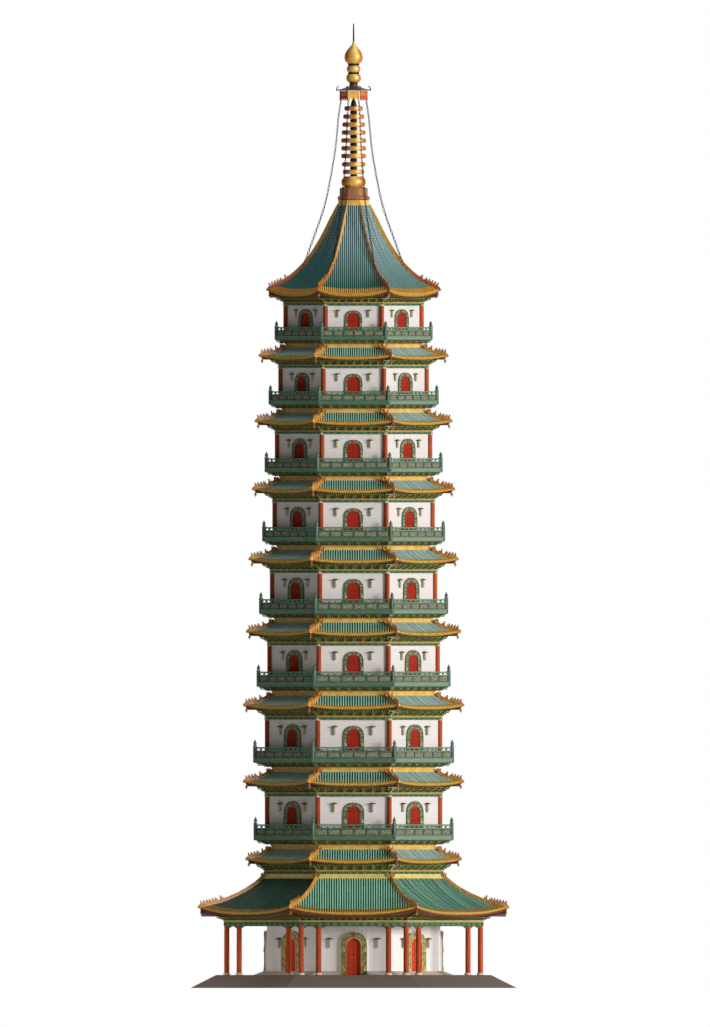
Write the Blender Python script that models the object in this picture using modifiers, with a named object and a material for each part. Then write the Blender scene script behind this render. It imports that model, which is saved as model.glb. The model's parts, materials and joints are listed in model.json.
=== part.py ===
# Nine-storey octagonal pagoda with glazed-tile roofs, as a 1:2 scale model of the whole tower.
# All constants are real metres of the full-size tower; SCALE brings the model to half size.
# Z is up, the ground is at z = 0, and the front face looks along -Y.

import math

import bmesh
import bpy
import numpy as np
from mathutils import Matrix

SCALE = 0.5

# one picture step of the elevation in real metres, used for the tabled mouldings
U = 0.081
# free gap between neighbouring pieces (0.3 mm on the model)
GAP = 0.0006

# platform and plinth
PLATFORM_TOP = 1.053
PLATFORM_FOOT_A = 13.23
PLATFORM_TOP_A = 11.14
PLINTH_TOP = 1.377
PLINTH_FOOT_A = 8.10
PLINTH_TOP_A = 7.29

# ground storey
GROUND_WALL_A = 7.03
GROUND_WALL_THICK = 1.60
GROUND_WALL_TOP = 9.2339
DOOR_HEAD = 4.29
JAMB_HALF = 0.70
ARCH_HALF = 0.591
ARCH_SPRING = 3.46
SURROUND_HALF = 1.093
SURROUND_THICK = 0.16
KEYSTONE_TOP = 4.66
LEAF_HALF = 0.640
LEAF_THICK = 0.08
LEAF_FOOT_GAP = 0.02
PIVOT_R = 0.035
MEETING_GAP = 0.012

# gallery round the ground storey
COLUMN_A = 10.27
COLUMN_R = 0.223
COLUMN_FOOT_R = 0.30
COLUMN_FOOT_H = 0.16
BEAM_BOTTOM = 5.00
BEAM_TOP = 5.30
BEAM_HALF = 0.20

# upper storeys 2 to 9, and the level of the great eave above the ninth
DECKS = [12.353, 18.630, 24.786, 30.659, 36.531, 42.120, 47.588, 52.812]
BEAM_A = [7.17, 7.17, 6.97, 6.76, 6.56, 6.36, 6.08, 5.67]
RAIL_A = [8.14, 8.18, 7.90, 7.70, 7.45, 7.25, 6.93, 6.44]
EAVE_A = [8.55, 8.75, 8.75, 8.50, 8.30, 8.02, 7.80, 7.48]
WALL_THICK = 1.20
TOP_H = 5.05
# level of the underside of the top roof's beam, read off the elevation
TOP_BEAM_LOW = 305.5
# storey height at which the step tables below hold; lower storeys shrink them in proportion
FULL_STOREY = 6.28

# levels of a storey's roof in steps below the deck above it
ROOF_TOP = 9.0
BAND_LOW = 13.0
EAVE_TOP = 26.0
EAVE_LOW = 28.5
BRACKET_LOW = 34.4
BEAM_LOW = 38.5
CORNER_RISE = 2.5
# distances of its parts from the wall face, in steps
BAND_OUT = -4.5
BRACKET_OUT = 8.5
BEAM_OUT = 2.6
# how sharply the eaves sweep up towards the corners
EAVE_POWER = 2.6

# balcony deck and railing, in steps below and above the deck
DECK_THICK = 5.0
PANEL_HIGH = 7.2
RAIL_LOW = 10.2
RAIL_HIGH = 11.5
POST_SHOULDER = 12.6
POST_TIP = 19.0
BAND_HALF = 0.05
RAIL_HALF = 0.07
POST_R = 0.23

# shut doors of the upper storeys
UPPER_DOOR_HALF = 0.51
UPPER_DOOR_SPRING = 1.81
UPPER_DOOR_SET_BACK = 0.20
UPPER_DOOR_THICK = 0.10
# a shut panel is this much narrower than its doorway on each side
PANEL_FREE = 0.004
# the leaves' outer face stands this far behind the wall face
LEAF_SET_BACK = 0.03

# engaged corner columns of the upper walls
ENGAGED_R = 0.17
ENGAGED_OUT = 0.04

# raised hip ridges of the roofs
HIP_HALF = 0.15
HIP_RISE = 0.15

TAN = math.tan(math.pi / 8)
COS = math.cos(math.pi / 8)


# clear the startup scene
for old in list(bpy.data.objects):
    bpy.data.objects.remove(old, do_unlink=True)

PAGODA = bpy.data.collections.new("pagoda")
bpy.context.scene.collection.children.link(PAGODA)
HELPERS = bpy.data.collections.new("helpers")
bpy.context.scene.collection.children.link(HELPERS)
MATERIALS = {}


def material(name, rgb, rough=0.6, metal=0.0):
    made = bpy.data.materials.new(name)
    made.use_nodes = True
    shader = made.node_tree.nodes["Principled BSDF"]
    shader.inputs["Base Color"].default_value = (rgb[0], rgb[1], rgb[2], 1.0)
    shader.inputs["Roughness"].default_value = rough
    shader.inputs["Metallic"].default_value = metal
    made.diffuse_color = (rgb[0], rgb[1], rgb[2], 1.0)
    MATERIALS[name] = made


material("stone_dark", (0.12, 0.10, 0.09), 0.8)
material("stone_pale", (0.32, 0.28, 0.24), 0.7)
material("white_tile", (0.62, 0.58, 0.54), 0.35)
material("green_tile", (0.06, 0.20, 0.15), 0.3)
material("red_timber", (0.30, 0.05, 0.03), 0.5)
material("red_column", (0.36, 0.10, 0.04), 0.5)
material("green_rail", (0.08, 0.15, 0.09), 0.5)
material("deck_timber", (0.10, 0.12, 0.07), 0.6)
material("gilt", (0.75, 0.45, 0.12), 0.3, 1.0)
material("bronze", (0.28, 0.15, 0.06), 0.45, 0.6)
material("iron", (0.03, 0.03, 0.03), 0.5, 1.0)
material("gold_tile", (0.60, 0.40, 0.12), 0.35)


# Shape makers: each returns a mesh in real metres

def cleaned(mesh, merge=1e-5):
    bm = bmesh.new()
    bm.from_mesh(mesh)
    bmesh.ops.remove_doubles(bm, verts=bm.verts, dist=merge)
    bmesh.ops.dissolve_degenerate(bm, edges=bm.edges, dist=1e-6)
    bmesh.ops.recalc_face_normals(bm, faces=bm.faces)
    bm.to_mesh(mesh)
    bm.free()
    return mesh


def evaluated_copy(obj):
    """The evaluated mesh of a scratch object as a mesh of its own; the object is removed."""
    bpy.context.scene.collection.objects.link(obj)
    bpy.context.view_layer.update()
    graph = bpy.context.evaluated_depsgraph_get()
    mesh = bpy.data.meshes.new_from_object(obj.evaluated_get(graph))
    bpy.data.objects.remove(obj, do_unlink=True)
    return cleaned(mesh)


def turned(profile, steps, closed=False, turn=0.0):
    """A profile of (radius, height) pairs spun round the Z axis by a Screw modifier."""
    mesh = bpy.data.meshes.new("profile")
    points = [(r, 0.0, z) for r, z in profile]
    edges = [(i, i + 1) for i in range(len(points) - 1)]
    if closed:
        edges.append((len(points) - 1, 0))
    mesh.from_pydata(points, edges, [])
    obj = bpy.data.objects.new("profile", mesh)
    screw = obj.modifiers.new("turn", "SCREW")
    screw.angle = 2 * math.pi
    screw.steps = steps
    screw.render_steps = steps
    screw.use_smooth_shade = False
    screw.use_merge_vertices = True
    screw.merge_threshold = 0.0001
    made = evaluated_copy(obj)
    made.transform(Matrix.Rotation(turn, 4, "Z"))
    return made


def octagonal(profile, closed=False):
    """The same for eight sides; the profile gives the distance to the face's middle."""
    return turned([(a / COS, z) for a, z in profile], 8, closed, math.pi / 8)


def prism(loops, low, high):
    """Flat outline with holes, filled as a 2D curve and extruded from low to high along Z."""
    curve = bpy.data.curves.new("outline", "CURVE")
    curve.dimensions = "2D"
    curve.fill_mode = "BOTH"
    curve.extrude = (high - low) / 2
    for loop in loops:
        spline = curve.splines.new("POLY")
        spline.points.add(len(loop) - 1)
        for point, (x, y) in zip(spline.points, loop):
            point.co = (x, y, 0.0, 1.0)
        spline.use_cyclic_u = True
    obj = bpy.data.objects.new("outline", curve)
    made = evaluated_copy(obj)
    made.transform(Matrix.Translation((0.0, 0.0, (low + high) / 2)))
    return made


def block(x0, x1, y0, y1, z0, z1):
    bm = bmesh.new()
    bmesh.ops.create_cube(bm, size=1.0)
    mesh = bpy.data.meshes.new("block")
    bm.to_mesh(mesh)
    bm.free()
    mesh.transform(Matrix.Diagonal((x1 - x0, y1 - y0, z1 - z0, 1.0)))
    mesh.transform(Matrix.Translation(((x0 + x1) / 2, (y0 + y1) / 2, (z0 + z1) / 2)))
    return mesh


def pooled(pairs):
    """One mesh of several (mesh, matrix) copies."""
    bm = bmesh.new()
    for mesh, matrix in pairs:
        copy = mesh.copy()
        copy.transform(matrix)
        bm.from_mesh(copy)
        bpy.data.meshes.remove(copy)
    out = bpy.data.meshes.new("pool")
    bm.to_mesh(out)
    bm.free()
    return out


def face_turn(k):
    """Turn that brings the front face (towards -Y) to face k, counted anticlockwise."""
    return Matrix.Rotation(k * math.pi / 4, 4, "Z")


def each_face(mesh, faces=range(8)):
    return pooled([(mesh, face_turn(k)) for k in faces])


def upright(mesh, y):
    """A plate drawn in plan (x, height) and extruded inward is stood up at distance y in front."""
    stand = Matrix(((1, 0, 0, 0), (0, 0, 1, -y), (0, 1, 0, 0), (0, 0, 0, 1)))
    mesh.transform(stand)
    return cleaned(mesh)


def arch_points(half, spring, foot, steps=6):
    """Outline of a round-headed doorway, in (x, height)."""
    points = [(-half, foot), (half, foot)]
    for i in range(steps + 1):
        t = math.pi * i / steps
        points.append((half * math.cos(t), spring + half * math.sin(t)))
    return points


def add(name, mesh, mat, cut=(), join=()):
    """A named piece of the tower, scaled to the model, with live Booleans on scaled helpers."""
    mesh.transform(Matrix.Scale(SCALE, 4))
    mesh.name = name
    obj = bpy.data.objects.new(name, mesh)
    obj.data.materials.clear()
    obj.data.materials.append(MATERIALS[mat])
    PAGODA.objects.link(obj)
    for kind, meshes in (("UNION", join), ("DIFFERENCE", cut)):
        for i, other in enumerate(meshes):
            cleaned(other)
            other.transform(Matrix.Scale(SCALE, 4))
            helper = bpy.data.objects.new(name + "_" + kind.lower() + str(i), other)
            helper.hide_render = True
            helper.display_type = "WIRE"
            HELPERS.objects.link(helper)
            boolean = obj.modifiers.new(kind.lower() + str(i), "BOOLEAN")
            boolean.operation = kind
            boolean.solver = "EXACT"
            boolean.object = helper
    return obj


def eaved_ring(rows, closed):
    """Loft of a roof round the eight sides.

    Each row is (distance at mid-face, height at mid-face, distance at the corner, height at the
    corner, hip raise). Between mid-face and corner both values follow a power of the way across,
    so the eaves sweep up; the corner line itself is lifted to make the hip ridge.
    """
    lines = []
    for k in range(8):
        angle = -math.pi / 2 + k * math.pi / 4
        normal = np.array([math.cos(angle), math.sin(angle)])
        along = np.array([-math.sin(angle), math.cos(angle)])
        for kind in ("corner", "foot", -0.5, 0.5, "foot_far"):
            line = []
            for a_mid, z_mid, a_corner, z_corner, raised in rows:
                width = max(a_corner * TAN, 1e-6)
                inset = min(HIP_HALF / width, 0.3)
                u = {"corner": -1.0, "foot": -(1 - inset), "foot_far": 1 - inset}.get(kind, kind)
                t = abs(u) ** EAVE_POWER
                a = a_mid + (a_corner - a_mid) * t
                z = z_mid + (z_corner - z_mid) * t
                if kind == "corner":
                    z += raised * HIP_RISE
                xy = normal * a + along * (u * a * TAN)
                line.append((xy[0], xy[1], z))
            lines.append(line)
    points = np.array(lines)
    count, length = points.shape[:2]
    index = np.arange(count * length).reshape(count, length)
    after = np.roll(index, -1, axis=0)
    if closed:
        down, down_after = np.roll(index, -1, axis=1), np.roll(after, -1, axis=1)
    else:
        index, down = index[:, :-1], index[:, 1:]
        after, down_after = after[:, :-1], after[:, 1:]
    quads = np.stack([index, down, down_after, after], axis=-1).reshape(-1, 4)
    mesh = bpy.data.meshes.new("roof")
    mesh.from_pydata(points.reshape(-1, 3).tolist(), [], quads.tolist())
    return cleaned(mesh)


# Platform and plinth

add("platform", octagonal([(0, PLATFORM_TOP), (PLATFORM_TOP_A, PLATFORM_TOP), (PLATFORM_FOOT_A, 0), (0, 0)]),
    "stone_dark")

# the five rear doorways are shut by plain arched door panels that stand on the plinth
REAR = (2, 3, 4, 5, 6)
rear_outline = arch_points(ARCH_HALF - PANEL_FREE, ARCH_SPRING, PLINTH_TOP - 0.12)
rear_panel = upright(prism([rear_outline], 0, LEAF_THICK), GROUND_WALL_A - LEAF_SET_BACK)
plinth_foot = PLATFORM_TOP + GAP
plinth = octagonal([(0, PLINTH_TOP), (PLINTH_TOP_A, PLINTH_TOP), (PLINTH_FOOT_A, plinth_foot), (0, plinth_foot)])
notch_front = block(-SURROUND_HALF - 0.02, SURROUND_HALF + 0.02, -9.0, -GROUND_WALL_A, 0.9, 2.0)
notch_inner = block(-JAMB_HALF, JAMB_HALF, -GROUND_WALL_A - 0.1, -GROUND_WALL_A + 1.1, 0.8, 2.1)
add("plinth", plinth, "stone_pale", cut=[notch_front, notch_inner], join=[each_face(rear_panel, REAR)])


# Ground storey wall: two front piers, a back wall and the ring above the doorways

def plan_point(face, x, a):
    """Point at sideways offset x and distance a of a face, in plan."""
    angle = -math.pi / 2 + face * math.pi / 4
    nx, ny = math.cos(angle), math.sin(angle)
    return (nx * a - ny * x, ny * a + nx * x)


def corner(face, a):
    """Corner between a face and the next one."""
    return plan_point(face, a * TAN, a)


IN_A = GROUND_WALL_A - GROUND_WALL_THICK
pier_low = PLINTH_TOP + GAP
pier_high = DOOR_HEAD
for name, face in (("ground_pier_right", 0), ("ground_pier_left", 7)):
    outline = [
        plan_point(face, JAMB_HALF, GROUND_WALL_A),
        corner(face, GROUND_WALL_A),
        plan_point(face + 1, -JAMB_HALF, GROUND_WALL_A),
        plan_point(face + 1, -JAMB_HALF, IN_A),
        corner(face, IN_A),
        plan_point(face, JAMB_HALF, IN_A),
    ]
    add(name, prism([outline], pier_low, pier_high), "white_tile")

outer = [plan_point(1, JAMB_HALF, GROUND_WALL_A)]
outer += [corner(f, GROUND_WALL_A) for f in range(1, 7)]
outer += [plan_point(7, -JAMB_HALF, GROUND_WALL_A)]
inner = [plan_point(7, -JAMB_HALF, IN_A)]
inner += [corner(f, IN_A) for f in range(6, 0, -1)]
inner += [plan_point(1, JAMB_HALF, IN_A)]
rear_way = upright(prism([arch_points(ARCH_HALF, ARCH_SPRING, PLINTH_TOP - 0.2)], 0, 2.4), GROUND_WALL_A + 0.3)
add("ground_back_wall", prism([outer + inner], pier_low, pier_high), "white_tile", cut=[each_face(rear_way, REAR)])

ring_low = DOOR_HEAD + GAP
ring = octagonal([(GROUND_WALL_A, GROUND_WALL_TOP), (GROUND_WALL_A, ring_low),
                  (IN_A, ring_low), (IN_A, GROUND_WALL_TOP)], closed=True)


def surround(foot):
    """Flat arched surround round a doorway, open below, standing just off the wall."""
    points = [(-SURROUND_HALF, foot)]
    for i in range(9):
        t = math.pi - math.pi * i / 8
        points.append((SURROUND_HALF * math.cos(t), ARCH_SPRING + SURROUND_HALF * math.sin(t)))
    points.append((SURROUND_HALF, foot))
    points.append((ARCH_HALF, foot))
    for i in range(7):
        t = math.pi * i / 6
        points.append((ARCH_HALF * math.cos(t), ARCH_SPRING + ARCH_HALF * math.sin(t)))
    points.append((-ARCH_HALF, foot))
    plate = prism([points], 0, SURROUND_THICK)
    return upright(plate, GROUND_WALL_A + GAP + SURROUND_THICK)


surrounds = pooled(
    [(surround(PLATFORM_TOP + 2 * GAP), face_turn(0))]
    + [(surround(PLINTH_TOP + 2 * GAP), face_turn(k)) for k in range(1, 8)]
)
# a keystone block on each surround runs back into the wall and ties the two together
keystone = block(-0.16, 0.16, -GROUND_WALL_A - SURROUND_THICK - 0.04, -GROUND_WALL_A + 0.1, 4.33, KEYSTONE_TOP)
add("ground_upper_wall", ring, "white_tile", join=[each_face(keystone), surrounds])


# The three front doorways: a pair of leaves each, hinged at the jambs and opening inward

def leaf_points(sign, foot):
    """Outline of one leaf, from the middle of the doorway to its hinge edge at x = 0."""
    steps = 6
    last = math.acos(MEETING_GAP / LEAF_HALF)
    points = [(-LEAF_HALF + MEETING_GAP, foot), (0.0, foot)]
    for i in range(steps + 1):
        t = last * i / steps
        points.append((LEAF_HALF * math.cos(t) - LEAF_HALF, ARCH_SPRING + LEAF_HALF * math.sin(t)))
    return [(p[0] * sign, p[1]) for p in points]


def place(obj, spot, turn):
    """Moves a piece and the helpers of its Booleans to a spot, turned about Z."""
    for each in [obj] + [m.object for m in obj.modifiers]:
        each.location = spot
        each.rotation_euler = (0.0, 0.0, turn)


LEAF_FACE = GROUND_WALL_A - LEAF_SET_BACK
for face, side in ((0, "front"), (1, "right"), (7, "left")):
    floor_z = PLATFORM_TOP if face == 0 else PLINTH_TOP
    foot = floor_z + LEAF_FOOT_GAP
    for sign, hand in ((1, "right"), (-1, "left")):
        leaf = prism([leaf_points(sign, foot)], 0, LEAF_THICK)
        # the hinge axis is the leaf's inner edge, at the origin of the piece
        leaf = upright(leaf, LEAF_THICK)
        # its pivot post stands on the floor and turns there
        post = turned([(0, ARCH_SPRING - 0.06), (PIVOT_R, ARCH_SPRING - 0.06), (PIVOT_R, floor_z + GAP),
                       (0, floor_z + GAP)], 8)
        obj = add("door_" + side + "_leaf_" + hand, leaf, "red_timber", join=[post])
        pivot = face_turn(face) @ Matrix.Translation((sign * LEAF_HALF, -(LEAF_FACE - LEAF_THICK), 0.0))
        place(obj, pivot.translation * SCALE, face * math.pi / 4)


# Gallery: 24 columns under one ring beam

column = turned(
    [(0, BEAM_BOTTOM + 0.1), (COLUMN_R, BEAM_BOTTOM + 0.1), (COLUMN_R, PLATFORM_TOP + COLUMN_FOOT_H),
     (COLUMN_FOOT_R, PLATFORM_TOP + COLUMN_FOOT_H), (COLUMN_FOOT_R, PLATFORM_TOP + GAP), (0, PLATFORM_TOP + GAP)],
    8)
spots = []
for k in range(8):
    for share in (-1.0, -2.0 / 3.0, 2.0 / 3.0):
        x, y = plan_point(k, share * COLUMN_A * TAN, COLUMN_A)
        spots.append((column, Matrix.Translation((x, y, 0.0))))
beam = octagonal(
    [(COLUMN_A + BEAM_HALF, BEAM_TOP), (COLUMN_A + BEAM_HALF, BEAM_BOTTOM),
     (COLUMN_A - BEAM_HALF, BEAM_BOTTOM), (COLUMN_A - BEAM_HALF, BEAM_TOP)], closed=True)
add("gallery_colonnade", beam, "red_column", join=[pooled(spots)])


# Great skirt roof over the gallery

def z_of(y):
    """Height of a level read off the elevation, whose ground line is at 988 steps."""
    return (988.0 - y) * U


WALL_OUT = GROUND_WALL_A + GAP
EM, EC = 152.0 * U, 153.2 * U
skirt_rows = [
    (WALL_OUT, GROUND_WALL_TOP, WALL_OUT, GROUND_WALL_TOP, 0),
    (89.8 * U, GROUND_WALL_TOP, 89.8 * U, GROUND_WALL_TOP, 0),
    (89.8 * U, z_of(877.5), 89.8 * U, z_of(877.5), 1),
    (99.0 * U, z_of(885.5), 99.0 * U, z_of(885.2), 1),
    (112.5 * U, z_of(894.5), 112.8 * U, z_of(893.6), 1),
    (131.0 * U, z_of(904.5), 131.5 * U, z_of(901.6), 1),
    (EM, z_of(913.0), EC, z_of(907.0), 1),
    (EM, z_of(916.6), EC, z_of(910.6), 0),
    (138.5 * U, z_of(916.8), 139.5 * U, z_of(914.6), 0),
    (129.5 * U, z_of(922.0), 129.5 * U, z_of(922.0), 0),
    (129.5 * U, BEAM_TOP + GAP, 129.5 * U, BEAM_TOP + GAP, 0),
    (124.0 * U, BEAM_TOP + GAP, 124.0 * U, BEAM_TOP + GAP, 0),
    (124.0 * U, z_of(908.0), 124.0 * U, z_of(908.0), 0),
    (WALL_OUT, z_of(886.0), WALL_OUT, z_of(886.0), 0),
]
add("great_skirt_roof", eaved_ring(skirt_rows, True), "green_tile")


# Roof over each storey: beam, bracket zone, swept eave, hips and ridge band as one ring

def storey_roof(name, wall_a, wall_in, corner_a, deck, s):
    top = deck - ROOF_TOP * U * s
    band_low = deck - BAND_LOW * U * s
    eave_top = deck - EAVE_TOP * U * s
    eave_low = deck - EAVE_LOW * U * s
    bracket_low = deck - BRACKET_LOW * U * s
    beam_low = deck - BEAM_LOW * U * s
    rise = CORNER_RISE * U * s
    mid_a = corner_a - 1.3 * U
    band_a = wall_a + BAND_OUT * U
    beam_a = wall_a + BEAM_OUT * U
    drop = band_low - eave_top
    run = mid_a - band_a
    rows = [
        (wall_in, top, wall_in, top, 0),
        (band_a, top, band_a, top, 0),
        (band_a, band_low, band_a, band_low, 1),
        (band_a + run * 0.36, band_low - drop * 0.48, band_a + run * 0.37, band_low - drop * 0.46, 1),
        (band_a + run * 0.70, band_low - drop * 0.80, band_a + run * 0.71, band_low - drop * 0.66, 1),
        (mid_a, eave_top, corner_a, eave_top + rise, 1),
        (mid_a, eave_low, corner_a, eave_low + rise, 0),
        (wall_a + BRACKET_OUT * U, eave_low, wall_a + (BRACKET_OUT + 0.5) * U, eave_low + 0.25 * rise, 0),
        (beam_a, bracket_low, beam_a, bracket_low, 0),
        (beam_a, beam_low, beam_a, beam_low, 0),
        (wall_in, beam_low, wall_in, beam_low, 0),
    ]
    add(name, eaved_ring(rows, True), "green_tile")


storey_roof("storey_1_roof", GROUND_WALL_A, IN_A, EAVE_A[0], DECKS[0], 1.0)


# Upper storeys

def wall_plan(wall_a, wall_in):
    """Outer plan with engaged round corner columns, and the inner octagon."""
    outer = []
    middle_r = (wall_a + ENGAGED_OUT) / COS
    spread = math.radians(112.5) + math.asin(ENGAGED_OUT / ENGAGED_R)
    for k in range(8):
        angle = -math.pi / 2 + math.pi / 8 + k * math.pi / 4
        cx, cy = middle_r * math.cos(angle), middle_r * math.sin(angle)
        for i in range(6):
            t = angle - spread + 2 * spread * i / 5
            outer.append((cx + ENGAGED_R * math.cos(t), cy + ENGAGED_R * math.sin(t)))
    inner = [corner(k, wall_in) for k in range(8)]
    return [outer, inner]


HEIGHTS = [DECKS[i + 1] - DECKS[i] for i in range(7)] + [TOP_H]
for i, deck in enumerate(DECKS):
    n = i + 2
    s = HEIGHTS[i] / FULL_STOREY
    s_below = HEIGHTS[i - 1] / FULL_STOREY if i else 1.0
    wall_a = BEAM_A[i] - BEAM_OUT * U
    wall_in = wall_a - WALL_THICK
    below_a = BEAM_A[i - 1] - BEAM_OUT * U if i else GROUND_WALL_A
    below_in = below_a - WALL_THICK if i else IN_A
    deck_a = RAIL_A[i] - 1.2 * U

    # floor slab that runs out as the balcony deck, on a flared bracket ring, with the shut doors
    slab_low = deck - DECK_THICK * U * s_below
    ring_foot = deck - ROOF_TOP * U * s_below + GAP
    floor = octagonal([
        (0, deck), (deck_a, deck), (deck_a, slab_low), (deck_a - 3.2 * U, slab_low),
        (below_a + 0.8 * U, deck - 8.4 * U * s_below), (below_a + 0.8 * U, ring_foot),
        (below_in, ring_foot), (below_in, slab_low), (0, slab_low)])
    half = UPPER_DOOR_HALF * s
    spring = deck + UPPER_DOOR_SPRING * s
    panel = upright(prism([arch_points(half - PANEL_FREE, spring, deck - 0.12)], 0, UPPER_DOOR_THICK),
                    wall_a - UPPER_DOOR_SET_BACK)
    add("storey_%d_floor" % n, floor, "deck_timber", join=[each_face(panel)])

    # wall with eight arched doorways
    high = deck + HEIGHTS[i] - BEAM_LOW * U * s - GAP if n < 9 else z_of(TOP_BEAM_LOW) - GAP
    doorway = upright(prism([arch_points(half, spring, deck - 0.3)], 0, WALL_THICK + 0.9), wall_a + 0.5)
    add("storey_%d_wall" % n, prism(wall_plan(wall_a, wall_in), deck + GAP, high), "white_tile",
        cut=[each_face(doorway)])

    # balcony railing: panel band, top rail and spiked corner posts
    rail_a = RAIL_A[i] - 2.4 * U
    panel_high = deck + PANEL_HIGH * U * s
    rail_low, rail_high = deck + RAIL_LOW * U * s, deck + RAIL_HIGH * U * s
    band = octagonal([(rail_a + BAND_HALF, panel_high), (rail_a + BAND_HALF, deck + GAP),
                      (rail_a - BAND_HALF, deck + GAP), (rail_a - BAND_HALF, panel_high)], closed=True)
    rail = octagonal([(rail_a + RAIL_HALF, rail_high), (rail_a + RAIL_HALF, rail_low),
                      (rail_a - RAIL_HALF, rail_low), (rail_a - RAIL_HALF, rail_high)], closed=True)
    post = turned([(0, deck + POST_TIP * U * s), (POST_R, deck + POST_SHOULDER * U * s),
                   (POST_R, deck + GAP), (0, deck + GAP)], 4, turn=math.pi / 4)
    posts = []
    for k in range(8):
        x, y = corner(k, rail_a)
        turn = Matrix.Rotation(-math.pi / 2 + math.pi / 8 + k * math.pi / 4, 4, "Z")
        posts.append((post, Matrix.Translation((x, y, 0.0)) @ turn))
    for k in range(8):
        mid = block(-0.06, 0.06, -rail_a - 0.035, -rail_a + 0.035, panel_high - 0.1, rail_low + 0.05)
        posts.append((mid, face_turn(k)))
    add("storey_%d_railing" % n, band, "green_rail", join=[pooled(posts), rail])

    if n < 9:
        storey_roof("storey_%d_roof" % n, wall_a, wall_in, EAVE_A[n - 1], DECKS[i + 1], s)


# Great pointed top roof, an open shell inside

W9 = BEAM_A[7] - BEAM_OUT * U
W9_IN = W9 - WALL_THICK
top_rows = [
    (0, z_of(200.2), 0, z_of(200.2), 0),
    (14.9 * U, z_of(200.2), 14.9 * U, z_of(200.2), 0),
    (14.9 * U, z_of(204.5), 14.9 * U, z_of(204.5), 1),
    (22.5 * U, z_of(222.5), 22.5 * U, z_of(222.5), 1),
    (34.0 * U, z_of(244.5), 34.0 * U, z_of(244.5), 1),
    (48.0 * U, z_of(264.5), 48.0 * U, z_of(264.3), 1),
    (65.0 * U, z_of(281.0), 65.0 * U, z_of(279.6), 1),
    (83.4 * U, z_of(293.5), 84.8 * U, z_of(289.4), 1),
    (83.4 * U, z_of(297.8), 84.8 * U, z_of(293.4), 0),
    (W9 + 9.0 * U, z_of(297.8), W9 + 9.5 * U, z_of(297.0), 0),
    (W9 + BEAM_OUT * U, z_of(302.2), W9 + BEAM_OUT * U, z_of(302.2), 0),
    (W9 + BEAM_OUT * U, z_of(TOP_BEAM_LOW), W9 + BEAM_OUT * U, z_of(TOP_BEAM_LOW), 0),
    (W9_IN, z_of(TOP_BEAM_LOW), W9_IN, z_of(TOP_BEAM_LOW), 0),
    (W9_IN, z_of(280.0), W9_IN, z_of(280.0), 0),
    (34.0 * U, z_of(258.0), 34.0 * U, z_of(258.0), 0),
    (12.0 * U, z_of(215.0), 12.0 * U, z_of(215.0), 0),
    (0, z_of(212.0), 0, z_of(212.0), 0),
]
add("storey_9_roof", eaved_ring(top_rows, False), "green_tile")


# Spire: dew basin, ringed mast, canopy and finial

add("dew_basin", octagonal([
    (0, z_of(187.0)), (11.0 * U, z_of(187.0)), (14.0 * U, z_of(188.5)), (14.0 * U, z_of(195.5)),
    (16.2 * U, z_of(197.5)), (16.2 * U, z_of(199.0)), (14.4 * U, z_of(200.2) + GAP),
    (0, z_of(200.2) + GAP)]), "bronze")

pole = turned([
    (0, z_of(91.6)), (3.4 * U, z_of(91.6)), (4.0 * U, z_of(96.0)), (7.5 * U, z_of(104.5)), (3.0 * U, z_of(104.9)),
    (3.0 * U, z_of(175.5)), (8.0 * U, z_of(176.5)), (12.3 * U, z_of(178.5)), (12.3 * U, z_of(184.5)),
    (8.5 * U, z_of(186.0)), (8.5 * U, z_of(187.0) + GAP), (0, z_of(187.0) + GAP)], 16)
RINGS = [(171.7, 11.1), (164.0, 11.7), (156.4, 12.4), (148.1, 12.4), (140.5, 12.4), (132.4, 12.0), (124.4, 11.4),
         (116.4, 10.5), (108.3, 9.0)]
# half the height of a hoop, its thickness, and half the width of the cross bars inside it
HOOP_HALF = 0.17
HOOP_THICK = 0.16
BAR_HALF = 0.04
hoops = []
bars = []
for y, r in RINGS:
    z = z_of(y)
    outer_r = r * U
    inner_r = outer_r - HOOP_THICK
    bar_end = outer_r - HOOP_THICK / 2
    hoop = turned([(outer_r, z + HOOP_HALF), (outer_r, z - HOOP_HALF), (inner_r, z - HOOP_HALF),
                   (inner_r, z + HOOP_HALF)], 10, closed=True)
    hoops.append((hoop, Matrix.Identity(4)))
    bars.append((block(-bar_end, bar_end, -BAR_HALF, BAR_HALF, z + 0.01, z + 0.09), Matrix.Identity(4)))
    bars.append((block(-BAR_HALF, BAR_HALF, -bar_end, bar_end, z - 0.09, z - 0.01), Matrix.Identity(4)))
add("spire_rings", pole, "gilt", join=[pooled(hoops), pooled(bars)])

canopy_rows = [
    (0, z_of(85.9), 0, z_of(85.9), 0),
    (4.5 * U, z_of(85.9), 4.5 * U, z_of(85.9), 0),
    (9.0 * U, z_of(87.4), 9.2 * U, z_of(87.2), 0),
    (16.0 * U, z_of(89.2), 17.4 * U, z_of(86.9), 0),
    (16.0 * U, z_of(90.2), 17.4 * U, z_of(88.3), 0),
    (14.0 * U, z_of(90.2), 14.2 * U, z_of(90.0), 0),
    (14.0 * U, z_of(100.8), 14.2 * U, z_of(100.8), 0),
    (13.0 * U, z_of(100.8), 13.2 * U, z_of(100.8), 0),
    (13.0 * U, z_of(91.6) + GAP, 13.2 * U, z_of(91.6) + GAP, 0),
    (0, z_of(91.6) + GAP, 0, z_of(91.6) + GAP, 0),
]
add("spire_canopy", eaved_ring(canopy_rows, False), "gold_tile")

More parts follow.
